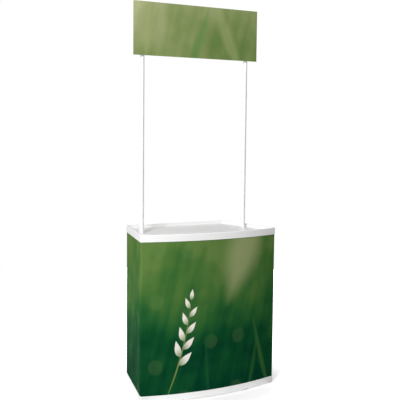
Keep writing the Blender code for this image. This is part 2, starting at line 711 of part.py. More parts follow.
def main():
    for obj in list(bpy.data.objects):
        bpy.data.objects.remove(obj, do_unlink=True)
    white = finish("white_plastic", (0.86, 0.86, 0.86), 0.35)
    sheet = finish("white_sheet", (0.84, 0.84, 0.83), 0.5)
    tube_white = finish("white_tube", (0.87, 0.87, 0.87), 0.3)
    wall_print = finish("wall_print", (0.07, 0.20, 0.06), 0.4)
    header_print = finish("header_print", (0.20, 0.29, 0.10), 0.4)
    grey = finish("grey_plastic", (0.55, 0.55, 0.56), 0.5)
    rubber = finish("rubber", (0.05, 0.05, 0.05), 0.8)
    foam = finish("foam_tape", (0.30, 0.30, 0.31), 0.9)
    zinc = finish("zinc_screw", (0.62, 0.62, 0.64), 0.35, 1.0)

    counter = frame("counter_frame")
    tray("base_shell", white, counter, PAD_HEIGHT, 1)
    base_pads(rubber, counter)
    deck_face = DECK_Z + BOSS_HEIGHT
    sockets("base_socket", socket_section(FOOT_SOCKET_LENGTH), grey, zinc, counter, deck_face, False)
    columns(tube_white, counter)
    shelf_collars(grey, zinc, counter)
    rear_posts(tube_white, counter)
    shelf_brackets(grey, zinc, counter)
    wall_sheet(sheet, counter)
    wall_film(wall_print, counter)
    panel_rivets(white, counter)

    shelf(white, grey, frame("shelf_frame", counter))

    top = frame("top_frame", counter)
    top_tray(white, top)
    length = POLE_SEAT_DEPTH + SOCKET_STOP + COLUMN_SEAT_DEPTH
    ceiling_face = CEILING_Z - BOSS_HEIGHT
    sockets("pole_socket", socket_section(length, POLE_SEAT_DEPTH), grey, zinc, top, ceiling_face, True)

    sign = frame("sign_frame", top)
    poles(tube_white, grey, white, sign)
    header(sheet, header_print, white, foam, frame("header_frame", sign))


main()
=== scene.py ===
"""Looks of a knock-down promotion counter with a header sign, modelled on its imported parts, in metres."""

import math

import bmesh
import bpy
from mathutils import Matrix, Vector


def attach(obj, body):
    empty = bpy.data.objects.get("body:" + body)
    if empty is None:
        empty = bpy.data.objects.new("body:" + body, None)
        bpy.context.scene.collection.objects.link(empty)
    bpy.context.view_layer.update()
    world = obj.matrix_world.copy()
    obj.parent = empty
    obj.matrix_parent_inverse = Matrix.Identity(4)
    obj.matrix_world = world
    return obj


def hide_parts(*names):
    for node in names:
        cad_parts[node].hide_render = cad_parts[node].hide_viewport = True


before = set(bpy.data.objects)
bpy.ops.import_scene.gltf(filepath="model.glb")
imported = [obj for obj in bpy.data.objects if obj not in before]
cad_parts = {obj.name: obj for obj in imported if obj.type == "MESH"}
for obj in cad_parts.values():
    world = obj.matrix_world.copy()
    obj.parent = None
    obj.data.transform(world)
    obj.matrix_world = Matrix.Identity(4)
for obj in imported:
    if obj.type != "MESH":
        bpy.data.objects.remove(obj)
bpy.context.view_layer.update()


# Base: one white injection moulding, the same as the top tray turned over. It stands on its rim, its skirt
# and channel take the foot of the wall sheet, and ribs, bosses and post plugs are moulded on its deck.
HALF_FRONT = 0.4345
HALF_BACK = 0.3325
FRONT_Y = -0.19275
BACK_Y = 0.25725
BOW_DEPTH = 0.0645
BOW_RADIUS = (HALF_FRONT**2 + BOW_DEPTH**2) / (2 * BOW_DEPTH)
BOW_CENTRE = Vector((0, FRONT_Y - BOW_DEPTH + BOW_RADIUS))
BOW_STEPS = 48
SIDE_NORMAL = Vector((BACK_Y - FRONT_Y, HALF_FRONT - HALF_BACK)).normalized()
SIDE_REACH = SIDE_NORMAL.dot(Vector((HALF_FRONT, FRONT_Y)))
CORNER_STEPS = 8
CORNER_RADIUS = 0.0106
SKIRT_RADIUS = 0.0078
RECESS_RADIUS = 0.008
CHANNEL_RADIUS = 0.004
TRAY_HEIGHT = 0.040
FLOOR_DROP = 0.0175
FLOOR_UNDER = 0.021
SKIRT_WALL = 0.0022
CHANNEL_INSET = 0.0085
CHANNEL_ROOF = 0.003
RIM_WIDTH = 0.012
RIM_ROUND = 0.005
FLOOR_FILLET = 0.005
SKIRT_ROUND = 0.0006
ROUND_STEPS = 5
ROUND_SIDES = 64
POLE_X = 0.33561
POLE_Y = 0.02075
BOSS_RADIUS = 0.030
BOSS_HEIGHT = 0.008
BOSS_ROUND = 0.0012
POST_X = 0.31667
POST_Y = 0.23995
PLUG_HALF = 0.0069
PLUG_HEIGHT = 0.015
PLUG_TAPER = 0.8
RIB_WALL = 0.002
RIB_DRAFT = 0.6
RIB_HEIGHT = 0.012
RIB_INSET = 0.026
RIB_REACH = 0.28561
CROSS_RIBS = 5
LONG_RIBS = 2
BASE_RIM = 0.002
NEAR = 1e-5
LIFT = 0.5
QUARTER = math.pi / 2
GRAIN_DEPTH = 0.0002
STOPS = (0.3, 0.7)
SIDES = (("left", -1), ("right", 1))


def new_piece(name):
    """An empty mesh at the origin, open for modelling, with nothing else selected."""
    if bpy.context.mode != "OBJECT":
        bpy.ops.object.mode_set(mode="OBJECT")
    bpy.ops.object.select_all(action="DESELECT")
    bpy.ops.mesh.primitive_plane_add(location=(0, 0, 0))
    piece = bpy.context.object
    piece.name = name
    piece.data.name = name
    bpy.ops.object.mode_set(mode="EDIT")
    bpy.ops.mesh.delete(type="VERT")
    return piece


def new_point(place):
    """One loose point in the mesh in hand, selected."""
    bpy.ops.mesh.select_mode(type="VERT")
    bpy.ops.mesh.primitive_plane_add(size=NEAR, location=place)
    bpy.ops.mesh.merge(type="CENTER")


def pick(kind, test):
    """Selects the points, edges or faces of the mesh in hand that pass a test."""
    mesh = bpy.context.edit_object.data
    bpy.ops.mesh.select_mode(type=kind)
    bpy.ops.mesh.select_all(action="DESELECT")
    shape = bmesh.from_edit_mesh(mesh)
    for part in {"VERT": shape.verts, "EDGE": shape.edges, "FACE": shape.faces}[kind]:
        if test(part):
            part.select_set(True)
    shape.select_flush_mode()
    bmesh.update_edit_mesh(mesh)


def pick_all():
    """Selects all of the mesh in hand."""
    bpy.ops.mesh.select_all(action="SELECT")


def extrude(move):
    """Draws out what is selected."""
    bpy.ops.mesh.extrude_region_move(TRANSFORM_OT_translate={"value": move})


def at_level(part, height):
    """Whether an edge or a face lies flat at a height."""
    return all(abs(point.co.z - height) < NEAR for point in part.verts)


def open_at(height):
    """Selects the edges at a height that no second face has closed yet."""
    pick("EDGE", lambda edge: at_level(edge, height) and len(edge.link_faces) < 2)


def folded(edge, degrees=30):
    """Whether the two faces at an edge meet at a clear angle."""
    return edge.calc_face_angle(0) > math.radians(degrees)


def close_to(spots, place, reach=NEAR):
    """Whether a place is within reach of one of a few spots."""
    return min((place - spot).length for spot in spots) < reach


def round_edges(test, radius, steps=ROUND_STEPS):
    """Rounds the edges of the mesh in hand that pass a test."""
    pick("EDGE", test)
    bpy.ops.mesh.bevel(offset=radius, segments=steps, affect="EDGES", clamp_overlap=False)


def round_level(height, radius, steps=ROUND_STEPS):
    """Rounds the folded edges that lie at a height."""
    round_edges(lambda edge: at_level(edge, height) and folded(edge), radius, steps)


def plan_corners(inset):
    """The front and back corners of the right side, before rounding, set in from the skirt's face."""
    along = SIDE_REACH - inset - SIDE_NORMAL.dot(BOW_CENTRE)
    across = math.sqrt((BOW_RADIUS - inset) ** 2 - along**2)
    front = BOW_CENTRE + SIDE_NORMAL * along + Vector((SIDE_NORMAL.y, -SIDE_NORMAL.x)) * across
    y = BACK_Y - inset
    return front, Vector(((SIDE_REACH - inset - SIDE_NORMAL.y * y) / SIDE_NORMAL.x, y))


def bow_line(inset, height):
    """Spins a point along the bowed front, from its left corner to its right one."""
    front = plan_corners(inset)[0]
    new_point((-front.x, front.y, height))
    sweep = 2 * math.asin(front.x / (BOW_RADIUS - inset))
    bpy.ops.mesh.spin(steps=BOW_STEPS, angle=-sweep, center=(0, BOW_CENTRE.y, height), axis=(0, 0, 1))


def corner_cut(corner, radius):
    """How far back from a plan corner its rounding starts."""
    side = math.atan2(SIDE_NORMAL.y, SIDE_NORMAL.x)
    bow = math.asin(corner.x / BOW_RADIUS)
    turn = QUARTER - side if corner.y > 0 else QUARTER - bow + side
    return radius * math.tan(turn / 2)


def round_corner(corner, radius, height):
    """Rounds a plan corner, on both sides, to a radius."""
    pair = [Vector((sign * corner.x, corner.y, height)) for _, sign in SIDES]
    pick("VERT", lambda point: close_to(pair, point.co))
    bpy.ops.mesh.bevel(offset=corner_cut(corner, radius), segments=CORNER_STEPS, affect="VERTICES")


def plan_line(inset, radius, height):
    """Draws the counter's closed outline, set in from the skirt's face, and selects it."""
    front, back = plan_corners(inset)
    bow_line(inset, height)
    extrude((back.x - front.x, back.y - front.y, 0))
    extrude((-2 * back.x, 0, 0))
    pick("EDGE", lambda edge: at_level(edge, height) and not edge.link_faces)
    bpy.ops.mesh.edge_face_add()
    round_corner(front, radius, height)
    round_corner(back, radius, height)
    pick("FACE", lambda face: at_level(face, height) and all(edge.is_boundary for edge in face.edges))
    bpy.ops.mesh.delete(type="ONLY_FACE")
    pick("EDGE", lambda edge: at_level(edge, height) and not edge.link_faces)


def flat_band(inset, radius, height):
    """Closes the open edge at a height with a flat band, in to a new outline, which stays selected."""
    lifted = height + LIFT
    plan_line(inset, radius, lifted)
    levels = (height, lifted)
    pick("EDGE", lambda edge: len(edge.link_faces) < 2 and any(at_level(edge, z) for z in levels))
    bpy.ops.mesh.bridge_edge_loops()
    open_at(lifted)
    bpy.ops.transform.translate(value=(0, 0, -LIFT))


def face_out():
    """Merges doubles in the mesh in hand and turns all its faces outwards."""
    pick_all()
    bpy.ops.mesh.remove_doubles(threshold=NEAR)
    bpy.ops.mesh.normals_make_consistent(inside=False)


def hold(piece):
    """Leaves edit mode and selects one piece alone."""
    if bpy.context.mode != "OBJECT":
        bpy.ops.object.mode_set(mode="OBJECT")
    bpy.ops.object.select_all(action="DESELECT")
    piece.select_set(True)
    bpy.context.view_layer.objects.active = piece


def modify(piece, kind, **settings):
    """Gives a piece a modifier with its settings, and applies it."""
    hold(piece)
    bpy.ops.object.modifier_add(type=kind)
    modifier = piece.modifiers[-1]
    for key, value in settings.items():
        setattr(modifier, key, value)
    bpy.ops.object.modifier_apply(modifier=modifier.name)


def clear(*pieces):
    """Removes tools and pattern pieces that have done their work."""
    for piece in pieces:
        bpy.data.objects.remove(piece, do_unlink=True)


def combine(piece, tool, operation):
    """Joins a tool to a piece, or cuts it away, and clears the tool."""
    modify(piece, "BOOLEAN", operation=operation, solver="EXACT", object=tool)
    clear(tool)


def block(low, high):
    """A box between two corners, in the mesh in hand."""
    middle = (Vector(low) + Vector(high)) / 2
    bpy.ops.mesh.primitive_cube_add(size=1, location=middle, scale=Vector(high) - Vector(low))


def round_bar(radius, low, high, place, sides=ROUND_SIDES):
    """An upright round bar in the mesh in hand."""
    middle = (place[0], place[1], (low + high) / 2)
    bpy.ops.mesh.primitive_cylinder_add(vertices=sides, radius=radius, depth=high - low, location=middle)


def smooth(piece, degrees=35):
    """Shades a finished piece smooth between its clear edges, with flat faces kept flat."""
    hold(piece)
    bpy.ops.object.shade_smooth_by_angle(angle=math.radians(degrees))
    modify(piece, "WEIGHTED_NORMAL", keep_sharp=True)


def bow_y(x, inset):
    """Depth of the bowed front at one width."""
    return BOW_CENTRE.y - math.sqrt((BOW_RADIUS - inset) ** 2 - x**2)


def rib_tool(lengthways, root, tip, inset):
    """The stiffening ribs that run one way, with drafted sides, as a tool."""
    half = RIB_WALL / 2
    back = BACK_Y - inset
    if lengthways:
        front = bow_y(RIB_REACH, inset)
        rows = [front + (back - front) * (k + 1) / (LONG_RIBS + 1) for k in range(LONG_RIBS)]
        ribs = [((-RIB_REACH, y - half), (RIB_REACH, y + half)) for y in rows]
        draft = (1, RIB_DRAFT, 1)
    else:
        rows = [RIB_REACH * (2 * (k + 1) / (CROSS_RIBS + 1) - 1) for k in range(CROSS_RIBS)]
        ribs = [((x - half, bow_y(x, inset)), (x + half, back)) for x in rows]
        draft = (RIB_DRAFT, 1, 1)
    tool = new_piece("rib_tool")
    for low, high in ribs:
        block((*low, root), (*high, tip))
        middle = (Vector(low) + Vector(high)) / 2
        pick(
            "FACE",
            lambda face: at_level(face, tip) and close_to([middle], face.calc_center_median().xy, half),
        )
        bpy.ops.transform.resize(value=draft, center_override=(*middle, tip))
    face_out()
    hold(tool)
    return tool


def mould_tray(name):
    """A tray with its rim at height zero: skirt, rim, sunken floor, channel, and bosses and ribs below."""
    piece = new_piece(name)
    plan_line(0, CORNER_RADIUS, 0)
    extrude((0, 0, -TRAY_HEIGHT))
    flat_band(RIM_WIDTH, RECESS_RADIUS, 0)
    extrude((0, 0, -FLOOR_DROP))
    bpy.ops.mesh.edge_face_add()
    flat_band(SKIRT_WALL, SKIRT_RADIUS, -TRAY_HEIGHT)
    extrude((0, 0, TRAY_HEIGHT - CHANNEL_ROOF))
    flat_band(CHANNEL_INSET, CHANNEL_RADIUS, -CHANNEL_ROOF)
    extrude((0, 0, CHANNEL_ROOF - FLOOR_UNDER))
    bpy.ops.mesh.edge_face_add()
    face_out()
    round_level(0, RIM_ROUND)
    round_level(-FLOOR_DROP, FLOOR_FILLET)
    round_level(-TRAY_HEIGHT, SKIRT_ROUND, steps=2)
    root = -(FLOOR_DROP + FLOOR_UNDER) / 2
    boss_end = -FLOOR_UNDER - BOSS_HEIGHT
    tool = new_piece("boss_tool")
    for _, sign in SIDES:
        round_bar(BOSS_RADIUS, boss_end, root, (sign * POLE_X, POLE_Y))
        low = (sign * POST_X - PLUG_HALF, POST_Y - PLUG_HALF, -FLOOR_UNDER - PLUG_HEIGHT)
        block(low, (sign * POST_X + PLUG_HALF, POST_Y + PLUG_HALF, root))
        pick("FACE", lambda face: at_level(face, low[2]) and face.calc_center_median().x * sign > 0)
        centre = (sign * POST_X, POST_Y, low[2])
        bpy.ops.transform.resize(value=(PLUG_TAPER, PLUG_TAPER, 1), center_override=centre)
    face_out()
    round_level(boss_end, BOSS_ROUND, steps=3)
    combine(piece, tool, "UNION")
    for lengthways in (False, True):
        combine(piece, rib_tool(lengthways, root, -FLOOR_UNDER - RIB_HEIGHT, RIB_INSET), "UNION")
    return piece


base = mould_tray("base_moulding")
bpy.ops.object.mode_set(mode="EDIT")
pick_all()
bpy.ops.transform.mirror(constraint_axis=(False, False, True), center_override=(0, 0, 0))
bpy.ops.transform.translate(value=(0, 0, BASE_RIM))
bpy.ops.mesh.normals_make_consistent(inside=False)
smooth(base)


def feed(tree, node, values):
    """Gives sockets of a shader node their values or links."""
    for key, value in values.items():
        if isinstance(value, bpy.types.NodeSocket):
            tree.links.new(value, node.inputs[key])
        else:
            node.inputs[key].default_value = value


def add(tree, kind, values, **settings):
    """One shader node with its settings, and values or links for its sockets."""
    node = tree.nodes.new(kind)
    for key, value in settings.items():
        setattr(node, key, value)
    feed(tree, node, values)
    return node


def coords(tree, kind="Object"):
    """Where on a piece a point lies."""
    return add(tree, "ShaderNodeTexCoord", {}).outputs[kind]


def new_finish(name, **same):
    """A material's node tree and shader, with the values that are the same all over."""
    material = bpy.data.materials.new(name)
    material.use_nodes = True
    tree = material.node_tree
    shader = tree.nodes["Principled BSDF"]
    feed(tree, shader, {key.replace("_", " "): value for key, value in same.items()})
    return material, tree, shader


def blend_colours(tree, factor, *stops):
    """A colour that runs through (position, colour) stops with a factor."""
    node = add(tree, "ShaderNodeValToRGB", {"Fac": factor})
    ramp = node.color_ramp
    while len(ramp.elements) < len(stops):
        ramp.elements.new(1.0)
    for element, (position, colour) in zip(ramp.elements, stops):
        element.position = position
        element.color = (*colour, 1.0)
    return node.outputs["Color"]


def noise(tree, place, pitch, detail=2.0, rough=0.5, cells=False):
    """A pattern of values at a pitch per metre: a cloud about one half, or the small cells of a foam."""
    if cells:
        return add(tree, "ShaderNodeTexVoronoi", {"Vector": place, "Scale": pitch}).outputs["Distance"]
    values = {"Vector": place, "Scale": pitch, "Detail": detail, "Roughness": rough}
    return add(tree, "ShaderNodeTexNoise", values).outputs["Fac"]


def between(tree, factor, low, high, start=0.3, end=0.7, **settings):
    """Spreads a value that runs from start to end between two levels."""
    values = {"Value": factor, "From Min": start, "From Max": end, "To Min": low, "To Max": high}
    return add(tree, "ShaderNodeMapRange", values, **settings).outputs["Result"]


def grain(tree, shader, height, strength):
    """Fine relief on a surface from a height value."""
    bump = add(tree, "ShaderNodeBump", {"Height": height, "Strength": strength, "Distance": GRAIN_DEPTH})
    tree.links.new(bump.outputs["Normal"], shader.inputs["Normal"])


def mottled(name, slot, dark, light, gloss, cloud, stops=STOPS, haze=None, bumps=None, relief=0, **same):
    """A finish and its slot: colour that follows a cloud, gloss that follows it or a haze, fine bumps."""
    material, tree, shader = new_finish(name, **same)
    place = coords(tree)
    tone = noise(tree, place, **cloud)
    shine = noise(tree, place, **haze) if haze else tone
    colour = blend_colours(tree, tone, *zip(stops, (dark, light)))
    feed(tree, shader, {"Base Color": colour, "Roughness": between(tree, shine, *gloss)})
    if bumps:
        grain(tree, shader, noise(tree, place, **bumps), relief)
    return material, slot


def dress(piece, finish, body, *nodes):
    """Gives a finished piece its material and its body, and hides the parts it stands for."""
    material, slot = finish
    piece.data.materials.clear()
    piece.data.materials.append(material)
    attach(piece, body)
    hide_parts(*nodes)


MOULDED = {"cloud": {"pitch": 7.0, "detail": 4.0}, "haze": {"pitch": 30.0, "detail": 3.0}, "IOR": 1.49}
white_moulding = mottled(
    "white_moulding", "white_plastic",
    dark=(0.775, 0.775, 0.77), light=(0.815, 0.815, 0.81), gloss=(0.30, 0.40),
    bumps={"pitch": 1800.0}, relief=0.05, **MOULDED,
)
dress(base, white_moulding, "counter", "base_shell")


# Floor pads: six strips of black rubber with rounded ends, glued under the rim of the base. Two are at the
# front, one at each side and two at the back, so that the counter stands level and doesn't slide.
PAD_LENGTH = 0.050
PAD_WIDTH = 0.005
PAD_HEIGHT = 0.0017
PAD_END = 0.00245
PAD_ROUND = 0.0004


def upright(edge):
    """Whether an edge stands straight up."""
    return (edge.verts[0].co.xy - edge.verts[1].co.xy).length < NEAR


def place_pair(pattern, name, node, finish, body, spot, axis="Z", turns=(0, 0), number=None):
    """Copies of a pattern on both sides, turned, moved to a spot or its mirror place, and dressed."""
    for (word, sign), turn in zip(SIDES, turns):
        hold(pattern)
        bpy.ops.object.duplicate()
        twin = bpy.context.object
        end = word if number is None else f"{word}_{number}"
        twin.name = f"{name}_{end}"
        twin.data.name = twin.name
        move = Matrix.Translation((sign * spot[0], *spot[1:]))
        twin.data.transform(move @ Matrix.Rotation(turn, 4, axis))
        dress(twin, finish, body, f"{node}_{end}")


rubber = mottled(
    "black_rubber", "rubber",
    dark=(0.022, 0.022, 0.023), light=(0.075, 0.073, 0.070), stops=(0.35, 0.75), gloss=(0.70, 0.90),
    cloud={"pitch": 240.0, "detail": 6.0, "rough": 0.65},
    bumps={"pitch": 1500.0, "detail": 4.0}, relief=0.25, IOR=1.52,
)

pad = new_piece("pad_pattern")
block((-PAD_LENGTH / 2, -PAD_WIDTH / 2, 0), (PAD_LENGTH / 2, PAD_WIDTH / 2, PAD_HEIGHT))
round_edges(upright, PAD_END, steps=8)
round_edges(folded, PAD_ROUND, steps=2)
face_out()
smooth(pad)
middle = RIM_WIDTH / 2
front, back = plan_corners(middle)
bow_x = front.x / 2
pad_spots = {
    "front": (bow_x, bow_y(bow_x, middle), math.asin(bow_x / (BOW_RADIUS - middle))),
    "side": (*((front + back) / 2), math.atan2(SIDE_NORMAL.y, SIDE_NORMAL.x) + QUARTER),
    "back": (back.x - PAD_LENGTH, back.y, 0),
}
for name, (x, y, turn) in pad_spots.items():
    place_pair(pad, f"pad_{name}", f"base_pad_{name}", rubber, "counter", (x, y, 0), "Z", (-turn, turn))
clear(pad)


# Column feet: grey moulded sockets, a sleeve on a round flange, screwed down to the bosses of the base.
# Each takes the foot of a column and is held by two zinc-plated pan-head screws.
SEAT_RADIUS = 0.0128
SLEEVE_RADIUS = 0.0168
FLANGE_RADIUS = 0.029
FLANGE = 0.004
FOOT_LENGTH = 0.050
FOOT_Z = 0.0313
SCREW_REACH = 0.0225
SCREW_HOLE = 0.0023
HOLE_SIDES = 24
SOCKET_ROUND = 0.0006
SCREW_RADIUS = 0.002
SCREW_HEAD_RADIUS = 0.004
SCREW_HEAD = 0.0025
HEAD_WALL = 0.45
DOME_STEPS = 5
SOCKET_SCREW_LENGTH = 0.0103
CROSS_LENGTH = 0.0046
CROSS_WIDTH = 0.0009
CROSS_DEPTH = 0.0013
GAP = 0.0003


def lathe(name, profile, ring=False, steps=ROUND_SIDES):
    """Spins (radius, height) points about the upright axis: solid, or a ring about an open bore."""
    piece = new_piece(name)
    new_point((profile[0][0], 0, profile[0][1]))
    for (r0, z0), (r1, z1) in zip(profile, profile[1:]):
        extrude((r1 - r0, 0, z1 - z0))
    if ring:
        ends = [Vector((r, 0, z)) for r, z in (profile[0], profile[-1])]
        pick("VERT", lambda point: close_to(ends, point.co))
        bpy.ops.mesh.edge_face_add()
    pick_all()
    bpy.ops.mesh.spin(steps=steps, angle=2 * math.pi, center=(0, 0, 0), axis=(0, 0, 1))
    face_out()
    return piece


def make_socket(name, sleeve):
    """A turned socket: its flange, the outline of its sleeve, eased edges and two screw holes."""
    flange = [(SEAT_RADIUS, 0), (FLANGE_RADIUS, 0), (FLANGE_RADIUS, FLANGE), (SLEEVE_RADIUS, FLANGE)]
    piece = lathe(name, flange + sleeve, ring=True)
    round_edges(folded, SOCKET_ROUND, steps=2)
    tool = new_piece("hole_tool")
    for reach in (-SCREW_REACH, SCREW_REACH):
        round_bar(SCREW_HOLE, -FLANGE, 2 * FLANGE, (0, reach), sides=HOLE_SIDES)
    combine(piece, tool, "DIFFERENCE")
    smooth(piece)
    return piece


def make_screw(name, length):
    """A pan-head screw, its head above height zero, with a cross recess and a pointed shank."""
    angles = [QUARTER * k / DOME_STEPS for k in range(DOME_STEPS)]
    rise = SCREW_HEAD * (1 - HEAD_WALL)
    dome = [(SCREW_HEAD_RADIUS * math.cos(a), SCREW_HEAD * HEAD_WALL + rise * math.sin(a)) for a in angles]
    shank = [(0, -length), (SCREW_RADIUS, -length + 2 * SCREW_RADIUS), (SCREW_RADIUS, 0)]
    piece = lathe(name, shank + [(SCREW_HEAD_RADIUS, 0)] + dome + [(0, SCREW_HEAD)], steps=HOLE_SIDES)
    for x, y in ((CROSS_LENGTH / 2, CROSS_WIDTH / 2), (CROSS_WIDTH / 2, CROSS_LENGTH / 2)):
        tool = new_piece("cross_tool")
        block((-x, -y, SCREW_HEAD - CROSS_DEPTH), (x, y, SCREW_HEAD * 2))
        combine(piece, tool, "DIFFERENCE")
    smooth(piece)
    return piece


def fit_sockets(socket, names, node, body, height, step, turns=(0, 0)):
    """A socket on each side at a height, and its two screws a step off from it."""
    place_pair(socket, names[0], node, grey_plastic, body, (POLE_X, POLE_Y, height), "X", turns)
    for number, reach in enumerate((-SCREW_REACH, SCREW_REACH), 1):
        spot = (POLE_X, POLE_Y + reach, height + step)
        place_pair(socket_screw, names[1], f"{node}_screw", zinc, body, spot, "X", turns, number)


grey_plastic = mottled(
    "grey_plastic", "grey_plastic",
    dark=(0.50, 0.51, 0.52), light=(0.57, 0.575, 0.58), gloss=(0.42, 0.55),
    bumps={"pitch": 2200.0}, relief=0.10, **MOULDED,
)
zinc = mottled(
    "zinc_plate", "zinc_screw",
    dark=(0.52, 0.53, 0.55), light=(0.72, 0.72, 0.73), gloss=(0.26, 0.44),
    cloud={"pitch": 900.0, "detail": 4.0}, Metallic=1.0,
)
foot = make_socket("foot_pattern", [(SLEEVE_RADIUS, FOOT_LENGTH), (SEAT_RADIUS, FOOT_LENGTH)])
socket_screw = make_screw("screw_pattern", SOCKET_SCREW_LENGTH)
fit_sockets(foot, ("column_foot", "foot_screw"), "base_socket", "counter", FOOT_Z, FLANGE + GAP)
clear(foot)


# Columns: two 25 mm tubes of satin white plastic. They stand in the column feet and carry the pole
# sockets of the top tray.
TUBE_RADIUS = 0.0125
TUBE_WALL = 0.0015
TUBE_EDGE = 0.0003
COLUMN_TOP = 0.8464


def thicken(piece, thickness):
    """Gives a single skin its wall, inwards."""
    modify(piece, "SOLIDIFY", thickness=thickness, offset=-1, use_even_offset=True)


def make_tube(name, low, high, radius=TUBE_RADIUS):
    """A round tube on the upright axis, walled inwards, with its cut ends eased."""
    piece = new_piece(name)
    middle = (0, 0, (low + high) / 2)
    values = {"vertices": ROUND_SIDES, "radius": radius, "depth": high - low, "location": middle}
    bpy.ops.mesh.primitive_cylinder_add(end_fill_type="NOTHING", **values)
    face_out()
    thicken(piece, TUBE_WALL)
    bpy.ops.object.mode_set(mode="EDIT")
    round_edges(folded, TUBE_EDGE, steps=2)
    smooth(piece)
    return piece


tube_white = mottled(
    "satin_white_tube", "white_tube",
    dark=(0.77, 0.77, 0.765), light=(0.81, 0.81, 0.805), gloss=(0.26, 0.34),
    cloud={"pitch": 12.0, "detail": 3.0},
    bumps={"pitch": 420.0, "detail": 1.0}, relief=0.05, IOR=1.5, Coat_Weight=0.15, Coat_Roughness=0.2,
)
column = make_tube("column_pattern", FOOT_Z, COLUMN_TOP)
place_pair(column, "counter_column", "column", tube_white, "counter", (POLE_X, POLE_Y, 0))
clear(column)


# Rear posts: square tubes of the same white plastic in the back corners. They fit over plugs on both
# trays, keep them apart, and take the rivets of the wall sheet.
POST = 0.020
POST_EDGE = 0.002
POST_BOTTOM = 0.0233
POST_TOP = 0.9177

post = new_piece("post_pattern")
half = POST / 2
block((-half, POST_Y - half, POST_BOTTOM), (half, POST_Y + half, POST_TOP))
round_edges(upright, POST_EDGE, steps=4)


def at_end(part):
    """Whether an edge or a face of the post lies at one of its ends."""
    return at_level(part, POST_BOTTOM) or at_level(part, POST_TOP)


pick("FACE", at_end)
bpy.ops.mesh.inset(thickness=TUBE_WALL, use_individual=True)
bpy.ops.mesh.bridge_edge_loops()
face_out()
round_edges(lambda edge: folded(edge) and at_end(edge), TUBE_EDGE, steps=2)
smooth(post)
place_pair(post, "corner_post", "rear_post", tube_white, "counter", (POST_X, 0, 0))
clear(post)


# Wall: one 2 mm sheet of white plastic, bent round the bowed front and both sides and folded a little way
# round the back. Its edges stand in the channels of the two trays.
SHEET_INSET = 0.0033
SHEET = 0.002
SHEET_RADIUS = 0.0067
SHEET_BOTTOM = 0.0053
SHEET_TOP = 0.9357
FOLD_END = 0.2985
SHEET_EDGE = 0.0003
BACK_FACING = 0.99


def bent_skin(name, inset, radius, fold_end, low, high):
    """A single skin that stands round the front and sides, from one back fold to the other."""
    piece = new_piece(name)
    front, back = plan_corners(inset)
    bow_line(inset, low)
    extrude((back.x - front.x, back.y - front.y, 0))
    extrude((fold_end - back.x, 0, 0))
    pick("VERT", lambda point: close_to([Vector((-front.x, front.y))], point.co.xy))
    extrude((front.x - back.x, back.y - front.y, 0))
    extrude((back.x - fold_end, 0, 0))
    pick_all()
    extrude((0, 0, high - low))
    for corner in (front, back):
        pair = [Vector((sign * corner.x, corner.y)) for _, sign in SIDES]
        cut = corner_cut(corner, radius)
        round_edges(lambda edge: all(close_to(pair, point.co.xy) for point in edge.verts), cut, CORNER_STEPS)
    face_out()
    pick("FACE", lambda face: face.calc_center_median().y > 0 and abs(face.normal.y) > BACK_FACING)
    shape = bmesh.from_edit_mesh(piece.data)
    if any(face.normal.y < 0 for face in shape.faces if face.select):
        pick_all()
        bpy.ops.mesh.flip_normals()
    hold(piece)
    return piece


wall = bent_skin("wall_sheet", SHEET_INSET, SHEET_RADIUS, FOLD_END, SHEET_BOTTOM, SHEET_TOP)
thicken(wall, SHEET)
bpy.ops.object.mode_set(mode="EDIT")
round_edges(lambda edge: folded(edge, degrees=60), SHEET_EDGE, steps=1)
smooth(wall)

white_sheet = mottled(
    "white_sheet", "white_sheet",
    dark=(0.79, 0.79, 0.78), light=(0.84, 0.84, 0.83), gloss=(0.44, 0.54),
    cloud={"pitch": 5.0, "detail": 3.0}, bumps={"pitch": 700.0, "detail": 3.0}, relief=0.06, IOR=1.53,
)
dress(wall, white_sheet, "counter", "wall_panel")


# Wall print: a thin film with a soft green print, laid on the front and sides of the wall sheet. Its edges
# run a little way behind the skirts of both trays, and it ends in the back corners.
FILM_INSET = 0.0025
FILM = 0.0005
FILM_RADIUS = 0.0075
FILM_BOTTOM = 0.032
FILM_TOP = 0.909
FILM_FOLD = 0.3219
FILM_SURFACE = {"IOR": 1.5, "Specular_IOR_Level": 0.0005}
FILM_GLOSS = (0.36, 0.46)
FILM_HAZE = {"pitch": 25.0, "detail": 3.0}
FILM_BUMPS = {"pitch": 1300.0}
FILM_RELIEF = 0.04
MIDDLE_Y = 0.1


def lay_flat(piece):
    """A map of the film as printed: u runs round the wall from its middle and v runs up, in metres."""
    points = [vertex.co for vertex in piece.data.vertices]
    turns = [math.atan2(point.x, MIDDLE_Y - point.y) for point in points]
    lower = [pair for pair in zip(turns, points) if pair[1].z < FILM_BOTTOM + NEAR]
    rows = sorted((turn, point.x, point.y) for turn, point in lower)
    run = 0.0
    table = [(rows[0][0], 0.0)]
    for (_, x0, y0), (turn, x1, y1) in zip(rows, rows[1:]):
        run += math.hypot(x1 - x0, y1 - y0)
        table.append((turn, run))
    lengths = []
    for turn in turns:
        k = next((n for n, (end, _) in enumerate(table) if end >= turn - NEAR), len(table) - 1)
        lengths.append(table[k][1] - run / 2)
    layer = piece.data.uv_layers.active or piece.data.uv_layers.new(name="print")
    for loop in piece.data.loops:
        layer.data[loop.index].uv = (lengths[loop.vertex_index], points[loop.vertex_index].z - FILM_BOTTOM)


film = bent_skin("wall_film", FILM_INSET, FILM_RADIUS, FILM_FOLD, FILM_BOTTOM, FILM_TOP)
lay_flat(film)
thicken(film, FILM)
smooth(film)


def maths(tree, operation, first, second=0.0, clamp=False):
    """One step of arithmetic on values."""
    values = {0: first, 1: second}
    return add(tree, "ShaderNodeMath", values, operation=operation, use_clamp=clamp).outputs[0]


